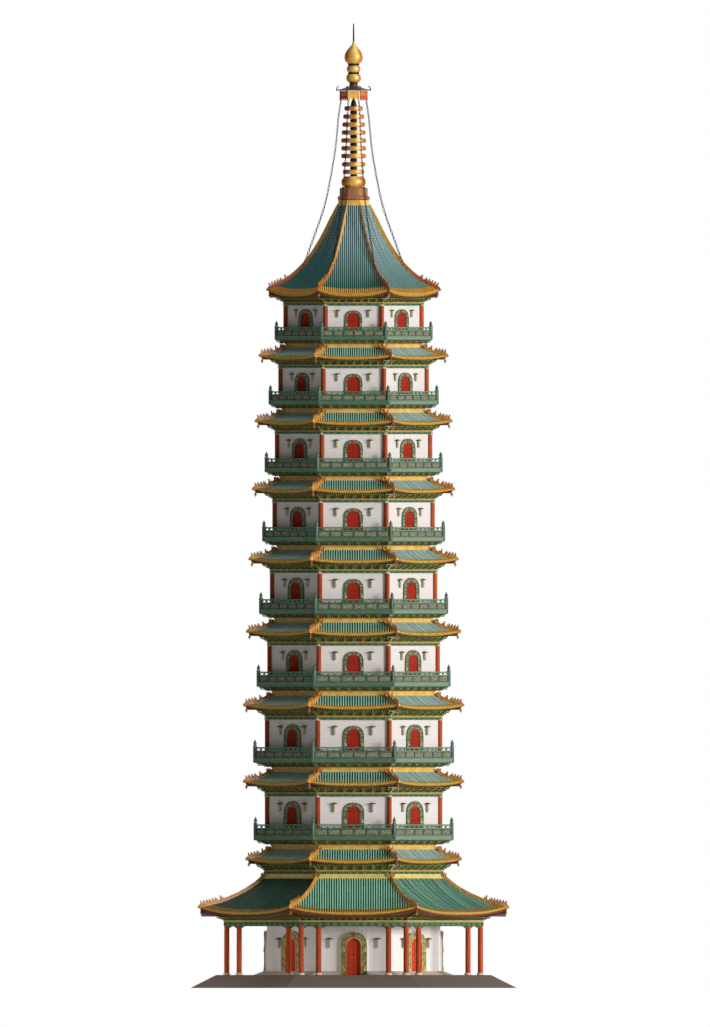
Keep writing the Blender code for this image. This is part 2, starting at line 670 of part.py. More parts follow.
add("spire_finial", turned([
    (0, z_of(23.4)), (0.05, z_of(23.4)), (0.05, z_of(40.0)), (1.4 * U, z_of(43.5)), (4.0 * U, z_of(47.0)),
    (7.5 * U, z_of(51.5)), (9.5 * U, z_of(57.0)), (8.0 * U, z_of(61.0)), (5.0 * U, z_of(63.4)),
    (5.0 * U, z_of(65.4)), (7.0 * U, z_of(67.5)), (7.0 * U, z_of(70.5)), (5.0 * U, z_of(72.4)),
    (5.0 * U, z_of(73.8)), (8.0 * U, z_of(76.5)), (8.0 * U, z_of(79.8)), (4.6 * U, z_of(82.4)),
    (4.6 * U, z_of(85.9) + GAP), (0, z_of(85.9) + GAP)], 16), "gilt")


# Eight stay chains from a ring under the canopy's rim down to the hips of the top roof

CHAIN_R = 0.045
CHAIN_PATH = [(12.2, 99.0), (15.2, 120.0), (18.9, 150.0), (24.2, 180.0), (31.4, 210.0), (41.8, 240.0),
              (55.5, 268.5)]


def chain_mesh():
    curve = bpy.data.curves.new("chain", "CURVE")
    curve.dimensions = "3D"
    curve.bevel_depth = CHAIN_R
    curve.bevel_resolution = 0
    curve.use_fill_caps = True
    spline = curve.splines.new("POLY")
    spline.points.add(len(CHAIN_PATH) - 1)
    for point, (a, y) in zip(spline.points, CHAIN_PATH):
        point.co = (a * U / COS, 0.0, z_of(y), 1.0)
    return evaluated_copy(bpy.data.objects.new("chain", curve))


one_chain = chain_mesh()
chains = pooled([(one_chain, Matrix.Rotation(math.pi / 8 + k * math.pi / 4, 4, "Z")) for k in range(8)])
# the ring hangs 0.3 mm inside the canopy's valance, level with the top of the chains
HANGER_HALF = 0.06
hanger_a = 13.0 * U - GAP
hanger_in = hanger_a - 0.10
hanger_low, hanger_high = z_of(99.0) - HANGER_HALF, z_of(99.0) + HANGER_HALF
hanger = octagonal([(hanger_a, hanger_high), (hanger_a, hanger_low), (hanger_in, hanger_low),
                    (hanger_in, hanger_high)], closed=True)
add("spire_chains", hanger, "iron", join=[chains])
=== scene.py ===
# %% [markdown]
# A nine-storey pagoda with glazed tiles, dressed for the eye
#
# The solids of the tower come in ready made: they carry, hinge and weigh. This lesson gives the tower
# its skin: tile rows, ridges with small guardians, brackets, railings, doors with studs, wall lamps,
# bells and a gilt spire. Each step first says what the piece is on the real tower.

# %% Load the tower's solids
import json
import math

import bpy
import numpy as np
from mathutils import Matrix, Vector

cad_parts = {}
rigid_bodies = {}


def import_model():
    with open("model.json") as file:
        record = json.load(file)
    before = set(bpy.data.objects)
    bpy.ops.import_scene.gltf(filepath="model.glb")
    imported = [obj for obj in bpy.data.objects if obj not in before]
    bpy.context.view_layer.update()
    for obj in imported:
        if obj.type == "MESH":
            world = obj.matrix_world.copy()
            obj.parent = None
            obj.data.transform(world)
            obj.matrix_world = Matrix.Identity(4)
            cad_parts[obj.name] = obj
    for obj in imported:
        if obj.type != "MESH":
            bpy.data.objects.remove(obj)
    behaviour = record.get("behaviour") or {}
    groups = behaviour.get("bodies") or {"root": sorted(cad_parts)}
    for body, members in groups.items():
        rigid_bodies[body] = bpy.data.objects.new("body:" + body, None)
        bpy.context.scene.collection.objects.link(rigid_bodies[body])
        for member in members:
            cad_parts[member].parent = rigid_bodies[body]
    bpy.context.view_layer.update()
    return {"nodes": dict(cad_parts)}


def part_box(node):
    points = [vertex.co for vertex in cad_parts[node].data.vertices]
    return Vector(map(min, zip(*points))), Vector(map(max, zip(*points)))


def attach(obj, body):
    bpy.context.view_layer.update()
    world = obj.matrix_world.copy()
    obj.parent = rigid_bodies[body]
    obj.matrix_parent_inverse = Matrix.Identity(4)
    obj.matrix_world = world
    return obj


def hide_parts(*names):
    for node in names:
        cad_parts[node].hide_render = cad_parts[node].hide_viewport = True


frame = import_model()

# %% [markdown]
# One measuring stick
#
# The elevation this tower is drawn from shows 964.6 steps from the ground to the tip of the mast. One
# step in metres is all we need to turn a reading off the elevation into a size, whatever the scale of
# the model. Storeys get their own scale from the distance between their floors.

# %% The measuring stick and the storeys
ELEVATION_STEPS = 964.6
GROUND_LINE = 988.0
STEP = float(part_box("spire_finial")[1][2]) / ELEVATION_STEPS
TAN = math.tan(math.pi / 8)
COS = math.cos(math.pi / 8)
SLOPE_POWER = 2.6
SHAFT_PAST_WALL = 0.105
COLUMN_LINE_IN = 0.085
TOP_STOREY = 2.525
FULL_STOREY = 3.14


def level(reading):
    """Height in metres of a level read off the elevation: steps above the ground line times one step."""
    return (GROUND_LINE - reading) * STEP


storeys = []
for n in range(2, 10):
    low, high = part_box("storey_%d_wall" % n)
    storeys.append({
        "n": n,
        "deck": float(low[2]),
        "wall_top": float(high[2]),
        "wall": float(high[0]) - SHAFT_PAST_WALL,
        "column": float(high[0]) - COLUMN_LINE_IN,
        "deck_edge": float(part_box("storey_%d_floor" % n)[1][0]),
        "eave": float(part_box("storey_%d_roof" % n)[1][0]),
    })
for below, above in zip(storeys, storeys[1:]):
    below["tall"] = above["deck"] - below["deck"]
storeys[-1]["tall"] = TOP_STOREY
for storey in storeys:
    storey["s"] = storey["tall"] / FULL_STOREY * STEP
    storey["rail"] = storey["deck_edge"] - 1.2 * STEP
GROUND_WALL = float(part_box("ground_back_wall")[1][0])
print("one step is %.4f m" % STEP)

# %% [markdown]
# Shapes as arrays
#
# A shape here is three arrays: points, four-sided faces and three-sided faces. Everything on the
# tower is either a grid of two parameters, a profile carried along a path, or a small shape stamped
# many times by an array of matrices. Working on whole arrays keeps even a roof full of tiles quick.


# %% Shape helpers
def shape(points, quads=(), tris=()):
    return (np.asarray(points, float).reshape(-1, 3), np.asarray(quads, int).reshape(-1, 4),
            np.asarray(tris, int).reshape(-1, 3))


def joined(shapes):
    """Several shapes as one: the points follow each other and the faces are renumbered."""
    starts = np.cumsum([0] + [len(s[0]) for s in shapes])
    return (np.concatenate([s[0] for s in shapes]),
            np.concatenate([s[1] + k for s, k in zip(shapes, starts)]),
            np.concatenate([s[2] + k for s, k in zip(shapes, starts)]))


def stamped(one, matrices):
    """A shape repeated by an array of 4 x 4 matrices, all points at once."""
    m = np.asarray(matrices, float).reshape(-1, 4, 4)
    points = np.einsum("nij,vj->nvi", m[:, :3, :3], one[0]) + m[:, None, :3, 3]
    shift = (np.arange(len(m)) * len(one[0]))[:, None, None]
    return shape(points, one[1][None] + shift, one[2][None] + shift)


def outward(one):
    """Turns a closed shape right side out: its signed volume, summed over faces, is made positive."""
    points, quads, tris = one
    fans = np.concatenate([quads[:, [0, 1, 2]], quads[:, [0, 2, 3]], tris])
    centre = points.mean(0)
    a, b, c = (points[fans[:, k]] - centre for k in range(3))
    if np.einsum("ij,ij->i", a, np.cross(b, c)).sum() < 0:
        return (points, quads[:, ::-1], tris[:, ::-1])
    return one


def grid(points, wrap_rows=False, wrap_columns=False):
    """Quads over an (n, m, 3) array of points; either direction can run round and close."""
    n, m = points.shape[:2]
    index = np.arange(n * m).reshape(n, m)
    if wrap_rows:
        index = np.vstack([index, index[:1]])
    if wrap_columns:
        index = np.hstack([index, index[:, :1]])
    quads = np.stack([index[:-1, :-1], index[1:, :-1], index[1:, 1:], index[:-1, 1:]], axis=-1)
    return shape(points, quads.reshape(-1, 4))


def box(x0, x1, y0, y1, z0, z1):
    """The eight corners and six faces of a block."""
    points = np.array([[x, y, z] for z in (z0, z1) for y in (y0, y1) for x in (x0, x1)])
    quads = [[0, 2, 3, 1], [4, 5, 7, 6], [0, 1, 5, 4], [2, 6, 7, 3], [0, 4, 6, 2], [1, 3, 7, 5]]
    return outward(shape(points, quads))


def lathe(profile, sides, turn=0.0):
    """A turned shape: each (radius, height) of the profile goes round the axis; the ends close in a point."""
    profile = np.asarray(profile, float)
    angles = turn + np.arange(sides) * 2 * math.pi / sides
    ring = np.stack([np.cos(angles), np.sin(angles)], axis=-1)
    inner = profile[1:-1]
    points = np.concatenate([
        inner[:, None, :1] * ring[None],
        np.broadcast_to(inner[:, None, 1:], (len(inner), sides, 1)),
    ], axis=-1)
    body = grid(points, wrap_columns=True)
    count = len(body[0])
    ends = np.array([[0, 0, profile[0, 1]], [0, 0, profile[-1, 1]]])
    first = np.arange(sides)
    last = count - sides + first
    tris = np.concatenate([
        np.stack([np.full(sides, count), first, np.roll(first, -1)], axis=-1),
        np.stack([np.full(sides, count + 1), np.roll(last, -1), last], axis=-1),
    ])
    return outward(shape(np.concatenate([body[0], ends]), body[1], tris))


RIGHT, BACK, UP = np.eye(3)


def swept(path, side, up, outline, size=None, closed=False):
    """A profile carried along a path.

    Point = path + side * profile x + up * profile y, where side and up are one direction for all or
    one for each point of the path. Size scales the profile along the way, and the ends are closed by a
    fan unless the path itself runs round.
    """
    path = np.asarray(path, float)
    side, up = (np.broadcast_to(np.asarray(v, float), path.shape) for v in (side, up))
    outline = np.asarray(outline, float)
    size = np.ones(len(path)) if size is None else np.asarray(size, float)
    spread = outline[None] * size[:, None, None]
    points = path[:, None] + side[:, None] * spread[..., :1] + up[:, None] * spread[..., 1:]
    body = grid(points, wrap_rows=closed, wrap_columns=True)
    if closed:
        return outward(body)
    n, m = points.shape[:2]
    count = n * m
    first = np.arange(m)
    last = count - m + first
    centres = points[[0, -1]].mean(1)
    tris = np.concatenate([
        np.stack([np.full(m, count), first, np.roll(first, -1)], axis=-1),
        np.stack([np.full(m, count + 1), np.roll(last, -1), last], axis=-1),
    ])
    return outward(shape(np.concatenate([body[0], centres]), body[1], tris))


def slab(outline, y0, y1):
    """A flat outline in (x, z), star-shaped round its middle, made solid between two depths."""
    return swept([[0, y0, 0], [0, y1, 0]], RIGHT, UP, outline)


def turn_z(angle):
    c, s = math.cos(angle), math.sin(angle)
    return np.array([[c, -s, 0, 0], [s, c, 0, 0], [0, 0, 1.0, 0], [0, 0, 0, 1.0]])


def move(x=0.0, y=0.0, z=0.0):
    m = np.eye(4)
    m[:3, 3] = (x, y, z)
    return m


def scale(x, y=None, z=None):
    return np.diag([x, x if y is None else y, x if z is None else z, 1.0])


FACES = np.stack([turn_z(k * math.pi / 4) for k in range(8)])
CORNERS = np.stack([turn_z(k * math.pi / 4 + math.pi / 8) for k in range(8)])


def eight(one):
    """A shape drawn on the front face, which looks along -Y, repeated on all eight faces."""
    return stamped(one, FACES)


def cornered(one, *spots):
    """A shape put at the given places near the front corner, and at the same places of all eight."""
    return stamped(stamped(one, spots) if spots else one, CORNERS)


def in_row(xs, y, z):
    """Places side by side, one for each x, at one depth and height."""
    return [move(float(x), y, z) for x in xs]


def bar_section(wide, back, front):
    """The outline of a bar: half its width to each side, and its two edges the other way."""
    return [(-wide, back), (wide, back), (wide, front), (-wide, front)]


print("helpers ready")

# %% [markdown]
# From arrays to pieces
#
# A finished piece is a mesh whose object stays at the origin, unturned and unscaled, because its place
# is in its points. Every piece rides on the tower, or on a door leaf that swings.


# %% Making a piece
def piece(name, one, finish, body="tower", stands_for=(), smooth=None, uv=None):
    points, quads, tris = one
    mesh = bpy.data.meshes.new(name)
    mesh.from_pydata(points.tolist(), [], quads.tolist() + tris.tolist())
    if uv is not None:
        corner = np.empty(len(mesh.loops), np.int32)
        mesh.loops.foreach_get("vertex_index", corner)
        layer = mesh.uv_layers.new(name="tile")
        layer.data.foreach_set("uv", np.asarray(uv, np.float32)[corner].reshape(-1))
    mesh.materials.append(finish)
    if smooth is not None:
        mesh.polygons.foreach_set("use_smooth", np.ones(len(mesh.polygons), bool))
        mesh.set_sharp_from_angle(angle=math.radians(smooth))
    mesh.update()
    obj = bpy.data.objects.new(name, mesh)
    bpy.context.scene.collection.objects.link(obj)
    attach(obj, body)
    if stands_for:
        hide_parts(*stands_for)
    print("%-24s %7d triangles" % (name, 2 * len(quads) + len(tris)))
    return obj


# %% [markdown]
# Shader maths as plain expressions
#
# A glaze is mostly arithmetic: which row, how far along, how worn. This small class wraps a socket so
# that + - * / and comparisons add Math nodes, and a colour mix reads as a sentence.


# %% The shader helper
def maths(operation, swap=False):
    """A method that sends a value, and what stands beside it, through one Math node."""
    def method(self, *others):
        terms = others + (self,) if swap else (self,) + others
        return self.finish.add("ShaderNodeMath", {"operation": operation}, *terms)
    return method


class Value:
    """A number, colour or vector from one node's socket. Part is what is left after the whole number."""

    def __init__(self, finish, socket):
        self.finish = finish
        self.socket = socket

    __add__ = __radd__ = maths("ADD")
    __sub__ = maths("SUBTRACT")
    __rsub__ = maths("SUBTRACT", swap=True)
    __mul__ = __rmul__ = maths("MULTIPLY")
    __truediv__ = maths("DIVIDE")
    __gt__ = maths("GREATER_THAN")
    __lt__ = maths("LESS_THAN")
    part = maths("FRACT")
    whole = maths("FLOOR")
    size = maths("ABSOLUTE")
    power = maths("POWER")
    most = maths("MAXIMUM")
    sine = maths("SINE")

    def step(self, low, high):
        """0 below low, 1 above high, smooth between."""
        settings = {"interpolation_type": "SMOOTHSTEP"}
        return self.finish.add("ShaderNodeMapRange", settings, self, low, high, 0.0, 1.0)


def linear(colour):
    """An everyday 0 to 255 colour as the linear numbers that a shader wants; a value stays a value."""
    if isinstance(colour, Value):
        return colour
    v = np.array(colour) / 255.0
    v = np.where(v <= 0.04045, v / 12.92, ((v + 0.055) / 1.055) ** 2.4)
    return tuple(float(c) for c in v) + (1.0,)


class Finish:
    """A material under construction: one Principled shader and what feeds it."""

    def __init__(self, name, **constants):
        self.material = bpy.data.materials.new(name)
        self.material.use_nodes = True
        self.tree = self.material.node_tree
        self.shader = self.tree.nodes["Principled BSDF"]
        self.coordinates = self.add("ShaderNodeTexCoord", output="Object")
        self.x, self.y, self.z = self.split(self.coordinates)
        for socket, value in constants.items():
            self.shader.inputs[socket.replace("_", " ")].default_value = value

    def add(self, kind, settings=None, *sockets, output=0, **named):
        """Any node: its type, its settings first, then the values or links of its sockets."""
        node = self.tree.nodes.new(kind)
        for key, value in (settings or {}).items():
            setattr(node, key, value)
        pairs = list(zip([s for s in node.inputs if s.enabled], sockets))
        pairs += [(node.inputs[key.replace("_", " ")], value) for key, value in named.items()]
        for socket, value in pairs:
            if isinstance(value, Value):
                self.tree.links.new(value.socket, socket)
            elif value is not None:
                socket.default_value = value
        if output is None:
            return node
        return Value(self, node.outputs[output])

    def split(self, vector):
        """The three numbers of a vector."""
        node = self.add("ShaderNodeSeparateXYZ", {}, vector, output=None)
        return [Value(self, socket) for socket in node.outputs]

    def blend(self, kind, factor, first, second):
        """A colour node of the given kind; colours come as values or as linear numbers."""
        node = self.add("ShaderNodeMix", {"data_type": "RGBA", "blend_type": kind}, output=None)
        colours = [s for s in node.inputs if s.type == "RGBA"]
        for socket, value in zip([node.inputs[0]] + colours, (factor, first, second)):
            if isinstance(value, Value):
                self.tree.links.new(value.socket, socket)
            else:
                socket.default_value = value
        return Value(self, [s for s in node.outputs if s.type == "RGBA"][0])

    def mix(self, factor, first, second):
        """The first colour where the factor is 0, the second where it is 1."""
        return self.blend("MIX", factor, linear(first), linear(second))

    def tint(self, colour, shares):
        """A colour whose red, green and blue are each multiplied by a share."""
        return self.blend("MULTIPLY", 1.0, linear(colour), tuple(shares) + (1.0,))

    def painted_side_light(self, colour, left, right):
        """A colour painted so many times as bright on the faces that look left and right: painted light and
        shade.
        """
        leans = self.x / self.y.size()
        colour = self.mix(leans < -TAN, colour, self.tint(colour, (left,) * 3))
        return self.mix(leans > TAN, colour, self.tint(colour, (right,) * 3))

    def chance(self, dimensions, *sockets, **named):
        """A random number between 0 and 1 for each whole cell."""
        settings = {"noise_dimensions": dimensions}
        return self.add("ShaderNodeTexWhiteNoise", settings, *sockets, output="Value", **named)

    def noise(self, size, detail=3.0, stretch=(1, 1, 1)):
        """Cloudy value between 0 and 1 whose blobs are about the given size in metres."""
        spot = self.coordinates
        if stretch != (1, 1, 1):
            spot = self.add("ShaderNodeVectorMath", {"operation": "MULTIPLY"}, spot, stretch)
        return self.add("ShaderNodeTexNoise", {}, Vector=spot, Scale=1.0 / size, Detail=detail, output="Fac")

    def colour(self, value):
        self.tree.links.new(value.socket, self.shader.inputs["Base Color"])

    def rough(self, value):
        self.tree.links.new(value.socket, self.shader.inputs["Roughness"])

    def bump(self, height, metres):
        node = self.add("ShaderNodeBump", {}, Strength=1.0, Distance=metres, Height=height, output="Normal")
        self.tree.links.new(node.socket, self.shader.inputs["Normal"])

    def around(self):
        """Sideways distance from the middle of the face a point is on, all faces folded on one."""
        angle = self.add("ShaderNodeMath", {"operation": "ARCTAN2"}, self.y, self.x)
        turns = angle / (math.pi / 4)
        folded = (turns + 0.5).part() - 0.5
        distance = (self.x * self.x + self.y * self.y).power(0.5)
        return distance * (folded * (math.pi / 4)).sine()

    def rings(self, scale, distortion, **detail):
        """Swirling bands, for scrolls and curls that are too small to model."""
        return self.add("ShaderNodeTexWave", {"wave_type": "RINGS"}, Vector=self.coordinates, Scale=scale,
                        Distortion=distortion, output="Fac", **detail)


# %% [markdown]
# Glazes, paints and metals
#
# White wall tiles: a pale glaze with hairline joints, a breath of streaky grime and soft unevenness
# from tile to tile. It could be a flat white, but the joints give the eye the scale.


# %% White glazed wall
def white_wall():
    f = Finish("white wall glaze", Roughness=0.32)
    across = f.around()
    course = 0.19
    brick = 0.38
    row = (f.z / course).whole()
    shift = (row * 0.5).part()
    bed = ((f.z / course).part() - 0.5).size().step(0.46, 0.495)
    head = ((across / brick + shift).part() - 0.5).size().step(0.48, 0.497)
    joint = bed.most(head)
    cloud = f.noise(0.9, 4.0)
    streaks = f.noise(0.25, 3.0, stretch=(1.0, 1.0, 0.12))
    base = f.mix(cloud, (246, 241, 237), (232, 226, 222))
    base = f.mix(streaks.step(0.55, 0.85) * 0.3, base, (196, 186, 182))
    base = f.mix(joint * 0.16, base, (140, 134, 130))
    f.colour(base)
    f.rough(cloud * 0.2 + 0.25)
    f.bump(1.0 - joint, 0.003)
    return f.material


def fluted_wall():
    """The ground storey's wall: the same glaze with fine upright flutes."""
    f = Finish("white fluted wall", Roughness=0.34)
    across = f.around()
    flute = 4.0 * STEP
    line = ((across / flute).part() - 0.5).size().step(0.40, 0.5)
    cloud = f.noise(0.8, 4.0)
    streaks = f.noise(0.3, 3.0, stretch=(1.0, 1.0, 0.12))
    base = f.mix(cloud, (252, 249, 246), (242, 238, 235))
    base = f.mix(line * 0.25, base, (176, 171, 168))
    base = f.mix(streaks.step(0.5, 0.85) * 0.3, base, (206, 198, 192))
    f.colour(base)
    f.rough(cloud * 0.2 + 0.27)
    f.bump(1.0 - line, 0.008)
    return f.material


WHITE = white_wall()
FLUTED = fluted_wall()
print("walls glazed")


# %% [markdown]
# Roof glaze: the body of every slope is sea green, and the last courses at the eave are yellow. The
# tile sheet carries its own map: sideways it counts tile rows, and down the slope it gives the metres
# left to the eave. The crown of each round tile is painted pale, a painted highlight, the flanks are
# full green and the trough between two rows is painted nearly black, as painted shade.


# %% Green and yellow roof glaze
def roof_glaze(name, yellow_reach, flank, crown, left_side_shading, right_side_shading, golds, side_trough_lift=0.0):
    """Cover rows and troughs from the tile UV: u counts rows, v is the way left to the eave in metres.

    Flank and crown are pairs of colours, low on the slope and high on it. Faces that look left and
    right are painted a colour of their own by a share, as painted light and shade; the last number of
    the left pair is how much of the pale crown highlight stays there. On both, the painted trough shade
    is lifted by the share given last.
    """
    f = Finish(name, Roughness=0.3, Coat_Weight=0.12, Coat_Roughness=0.2)
    tile_map = f.add("ShaderNodeUVMap", {"uv_map": "tile"}, output="UV")
    row, left = f.split(tile_map)[:2]
    course = 0.13
    across = 1.0 - ((row.part() - 0.5).size() * 2.0)
    # The pale crown of each tile is a painted highlight; the trough between rows is painted near-black as
    # painted shade.
    crown_highlight_part = across.step(0.52, 0.72)
    clear_of_trough_shade = across.step(0.38, 0.56)
    barrel = (1.0 - (1.0 - across).power(2.0)).power(0.5)
    lap = (left / course).part()
    joint = lap.step(0.0, 0.2)
    seed = f.add("ShaderNodeCombineXYZ", {}, row.whole(), (left / course).whole(), 0.0)
    odd = f.chance("2D", seed)
    batch = f.chance("1D", W=row.whole() + 0.5)
    cloud = f.noise(0.5, 3.0).step(0.35, 0.7)
    high = left.step(0.8, 3.6)
    leans = f.x / f.y.size()
    looks_left = leans < -TAN
    looks_right = leans > TAN
    sideways = looks_left + looks_right
    # On the faces that look left and right, darker rows and one row in three are painted shade of the tile
    # rows; the rest of this darkening is random tone from row to row and tile to tile.
    side_row_shade = looks_right * 0.25 + looks_left * 0.08
    third = ((row.whole() / 3.0).part() < 0.2) * sideways
    green = f.mix(high, flank[0], flank[1])
    pale = f.mix(high, crown[0], crown[1])
    # Side colours: faces that look left and right are painted lighter or darker, as painted light and shade.
    green = f.mix(looks_left * left_side_shading[1], green, left_side_shading[0])
    green = f.mix(looks_right * right_side_shading[1], green, right_side_shading[0])
    pale = f.mix(looks_left * (1.0 - left_side_shading[2]), pale, green)
    dark_tone_and_shade = f.tint(green, (0.3, 0.45, 0.45))
    green = f.mix(odd * 0.06 + batch * (side_row_shade + 0.2) + third * side_row_shade, green, dark_tone_and_shade)
    pale = f.mix(odd * 0.06 + batch * (side_row_shade + 0.25) + third * side_row_shade, pale, green)
    # Troughs are painted nearly black as painted shade; on the faces that look left and right this shade is
    # lifted by a share.
    green = f.mix(clear_of_trough_shade.most(sideways * side_trough_lift), f.tint(green, (0.06, 0.12, 0.12)), green)
    green = f.mix(crown_highlight_part, green, pale)
    yellow = f.mix(odd * 0.5, golds[0], golds[1])
    # The yellow eave rows get the same painted trough shade.
    yellow = f.mix(clear_of_trough_shade, f.tint(yellow, (0.26, 0.20, 0.12)), yellow)
    base = f.mix(left < yellow_reach, green, yellow)
    # Course joints are painted dark, and darker on the faces that look left and right as painted shade.
    base = f.mix((1.0 - joint) * (sideways * 0.5 + 0.1), base, (30, 40, 34))
    f.colour(base)
    f.rough(cloud * 0.12 + 0.18)
    f.bump(barrel, 0.016)
    return f.material


LOW_ROOF = roof_glaze("roof glaze", 7.0 * STEP, ((18, 188, 154), (18, 188, 154)),
                      ((206, 254, 244), (206, 254, 244)),
                      ((216, 254, 242), 0.95, 0.8), ((218, 238, 232), 0.95),
                      ((234, 206, 108), (216, 176, 82)), side_trough_lift=0.55)
GREAT_ROOF = roof_glaze("great roof glaze", 9.6 * STEP, ((18, 176, 132), (24, 182, 142)),
                        ((196, 250, 226), (206, 252, 232)),
                        ((0, 68, 58), 0.95, 0.3), ((10, 130, 112), 0.6),
                        ((196, 160, 84), (180, 134, 60)))
TOP_ROOF = roof_glaze("top roof glaze", 8.4 * STEP, ((6, 120, 104), (92, 150, 158)),
                      ((48, 166, 148), (166, 208, 214)),
                      ((36, 120, 142), 0.85, 0.95), ((206, 218, 220), 0.78),
                      ((246, 182, 50), (226, 150, 32)))


# %% Ridge, hip and band glaze
def plain_glaze(name, first, second, rough=0.22, blot=0.25, coat=0.3):
    """A fired glaze with pooled, uneven colour: two tones stirred by noise, and a thin clear coat."""
    f = Finish(name, Roughness=rough, Coat_Weight=coat, Coat_Roughness=0.15)
    cloud = f.noise(blot, 4.0)
    fine = f.noise(blot * 0.12, 3.0)
    base = f.mix(cloud.step(0.3, 0.7), first, second)
    base = f.mix(fine.step(0.55, 0.8) * 0.35, base, f.tint(first, (0.4, 0.35, 0.3)))
    f.colour(base)
    f.rough(fine * 0.2 + rough)
    f.bump(fine, 0.003)
    return f.material


YELLOW = plain_glaze("yellow ridge glaze", (244, 206, 112), (228, 174, 82))
PALE_YELLOW = plain_glaze("pale yellow glaze", (240, 222, 136), (226, 196, 106))
ORANGE = plain_glaze("orange hip glaze", (224, 166, 74), (204, 128, 54))
CREST = plain_glaze("crest glaze", (206, 146, 66), (178, 112, 48), rough=0.7, blot=0.1, coat=0.0)
TILE_END = plain_glaze("tile end glaze", (214, 174, 70), (190, 140, 50), blot=0.08)
BEAST = plain_glaze("guardian glaze", (204, 146, 62), (150, 90, 42), blot=0.06)


def top_hip_glaze():
    """The pointed roof's hips: yellow at the top, orange lower down and brown-red at the foot."""
    f = Finish("top hip glaze", Roughness=0.25, Coat_Weight=0.3, Coat_Roughness=0.15)
    cloud = f.noise(0.2, 4.0)
    low = f.z.step(level(232), level(268))
    foot = f.z.step(level(260), level(286))
    base = f.mix(low, (210, 168, 78), (208, 132, 54))
    base = f.mix(foot, base, (176, 92, 50))
    base = f.mix(cloud.step(0.5, 0.75) * 0.3, base, (150, 92, 40))
    f.colour(base)
    f.bump(cloud, 0.003)
    return f.material


TOP_HIP = top_hip_glaze()
print("roofs glazed")

# %% [markdown]
# Painted timber: red doors, orange-red columns, green rails and beams. Lacquer on timber shows long
# faint grain along the piece and cloudy darker patches; some paints are painted brighter on the faces
# that look left and right, and paler on those that look right, as painted light.


# %% Paints
ALONG_Z = (1.0, 1.0, 0.08)
BOARDS = (0.1, 0.1, 1.0)
PLAIN = (1.0, 1.0, 1.0)


def paint(name, first, second, rough=0.42, grain=ALONG_Z, right_pale_light=0.0, shine=0.5, sides=None):
    """Lacquer: two close tones stirred by noise that is stretched along the timber.

    A share of a pale tone is painted on the faces that look right, as painted light. Sides is how many
    times brighter the paint is painted on what looks left and right, as painted light.
    """
    f = Finish(name, Roughness=rough, Specular_IOR_Level=shine)
    long = f.noise(0.05, 4.0, stretch=grain)
    cloud = f.noise(0.5, 3.0)
    base = f.mix(long.step(0.3, 0.75), first, second)
    base = f.mix(cloud.step(0.45, 0.8) * 0.4, base, f.tint(first, (0.55, 0.5, 0.5)))
    # Faces that look right are painted paler: painted light.
    if right_pale_light:
        base = f.mix((f.x / f.y.size() > TAN) * right_pale_light, base, (206, 224, 200))
    # Faces that look left and right are painted brighter: painted light.
    if sides:
        base = f.painted_side_light(base, *sides)
    f.colour(base)
    f.rough(long * 0.25 + rough - 0.1)
    f.bump(long, 0.002)
    return f.material


# Columns, rails, posts and fascias are painted brighter on faces that look left and right, as painted light.
COLUMN_RED = paint("column lacquer", (168, 76, 36), (142, 58, 28), rough=0.6, shine=0.2,
                   sides=(1.0, 1.6))
GALLERY_RED = paint("gallery column lacquer", (178, 75, 35), (150, 58, 27), rough=0.6, shine=0.2,
                    sides=(1.35, 1.25))
# The ground doors' red is the door lacquer painted brighter, as painted light against the shade of their
# recess.
BRIGHTENED_LEAF_RED = paint("ground door lacquer", (216, 76, 47), (190, 60, 38), rough=0.6, grain=BOARDS,
                 shine=0.15)
DOOR_RED = paint("door lacquer", (181, 48, 29), (154, 37, 22), rough=0.6, grain=BOARDS,
                 shine=0.15)
EAVE_RED = paint("eave board red", (122, 46, 28), (92, 36, 22))
RAIL_GREEN = paint("rail green", (86, 128, 102), (62, 100, 78), rough=0.5, grain=(0.2, 0.2, 1.0),
                   right_pale_light=0.18, sides=(1.6, 1.0))
POST_GREEN = paint("post green", (66, 106, 84), (48, 82, 66), sides=(1.4, 1.0))
FASCIA_GREEN = paint("fascia green", (86, 122, 94), (72, 104, 82), grain=BOARDS,
                     right_pale_light=0.18, sides=(1.7, 1.1))
BRACKET_GREEN = paint("bracket green", (130, 154, 84), (84, 104, 54), grain=PLAIN)
DIVIDER_AND_SHADE_GREEN = paint("divider and shade green", (44, 76, 60), (34, 60, 48), grain=PLAIN)
DECK_BROWN = paint("deck timber", (104, 94, 52), (78, 74, 42), grain=BOARDS)
OCHRE = paint("ochre board", (208, 176, 94), (174, 142, 72), grain=BOARDS)
CREAM = paint("cream relief", (202, 194, 142), (170, 162, 108), grain=PLAIN)
LAMP_DARK = paint("lamp cap", (74, 80, 68), (50, 58, 50), grain=PLAIN)
LAMP_BODY = paint("lamp body", (214, 210, 172), (168, 172, 136), grain=PLAIN)
KEYSTONE_RED = paint("keystone orange", (206, 92, 44), (178, 62, 34), grain=PLAIN)


def painted_surround(name, dark, pale):
    """Green arch surround with a scrolled pattern of paler green and gold, drawn by wavy bands."""
    f = Finish(name, Roughness=0.35)
    wave = f.rings(2.2, 9.0, Detail=2.0, Detail_Scale=2.0)
    spot = f.noise(0.07, 4.0)
    base = f.mix(wave.step(0.45, 0.75), dark, pale)
    base = f.mix(spot.step(0.58, 0.68), base, (196, 176, 104))
    base = f.mix(f.noise(0.05, 3.0).step(0.62, 0.72) * 0.8, base, (170, 92, 60))
    f.colour(base)
    f.bump(wave, 0.006)
    return f.material


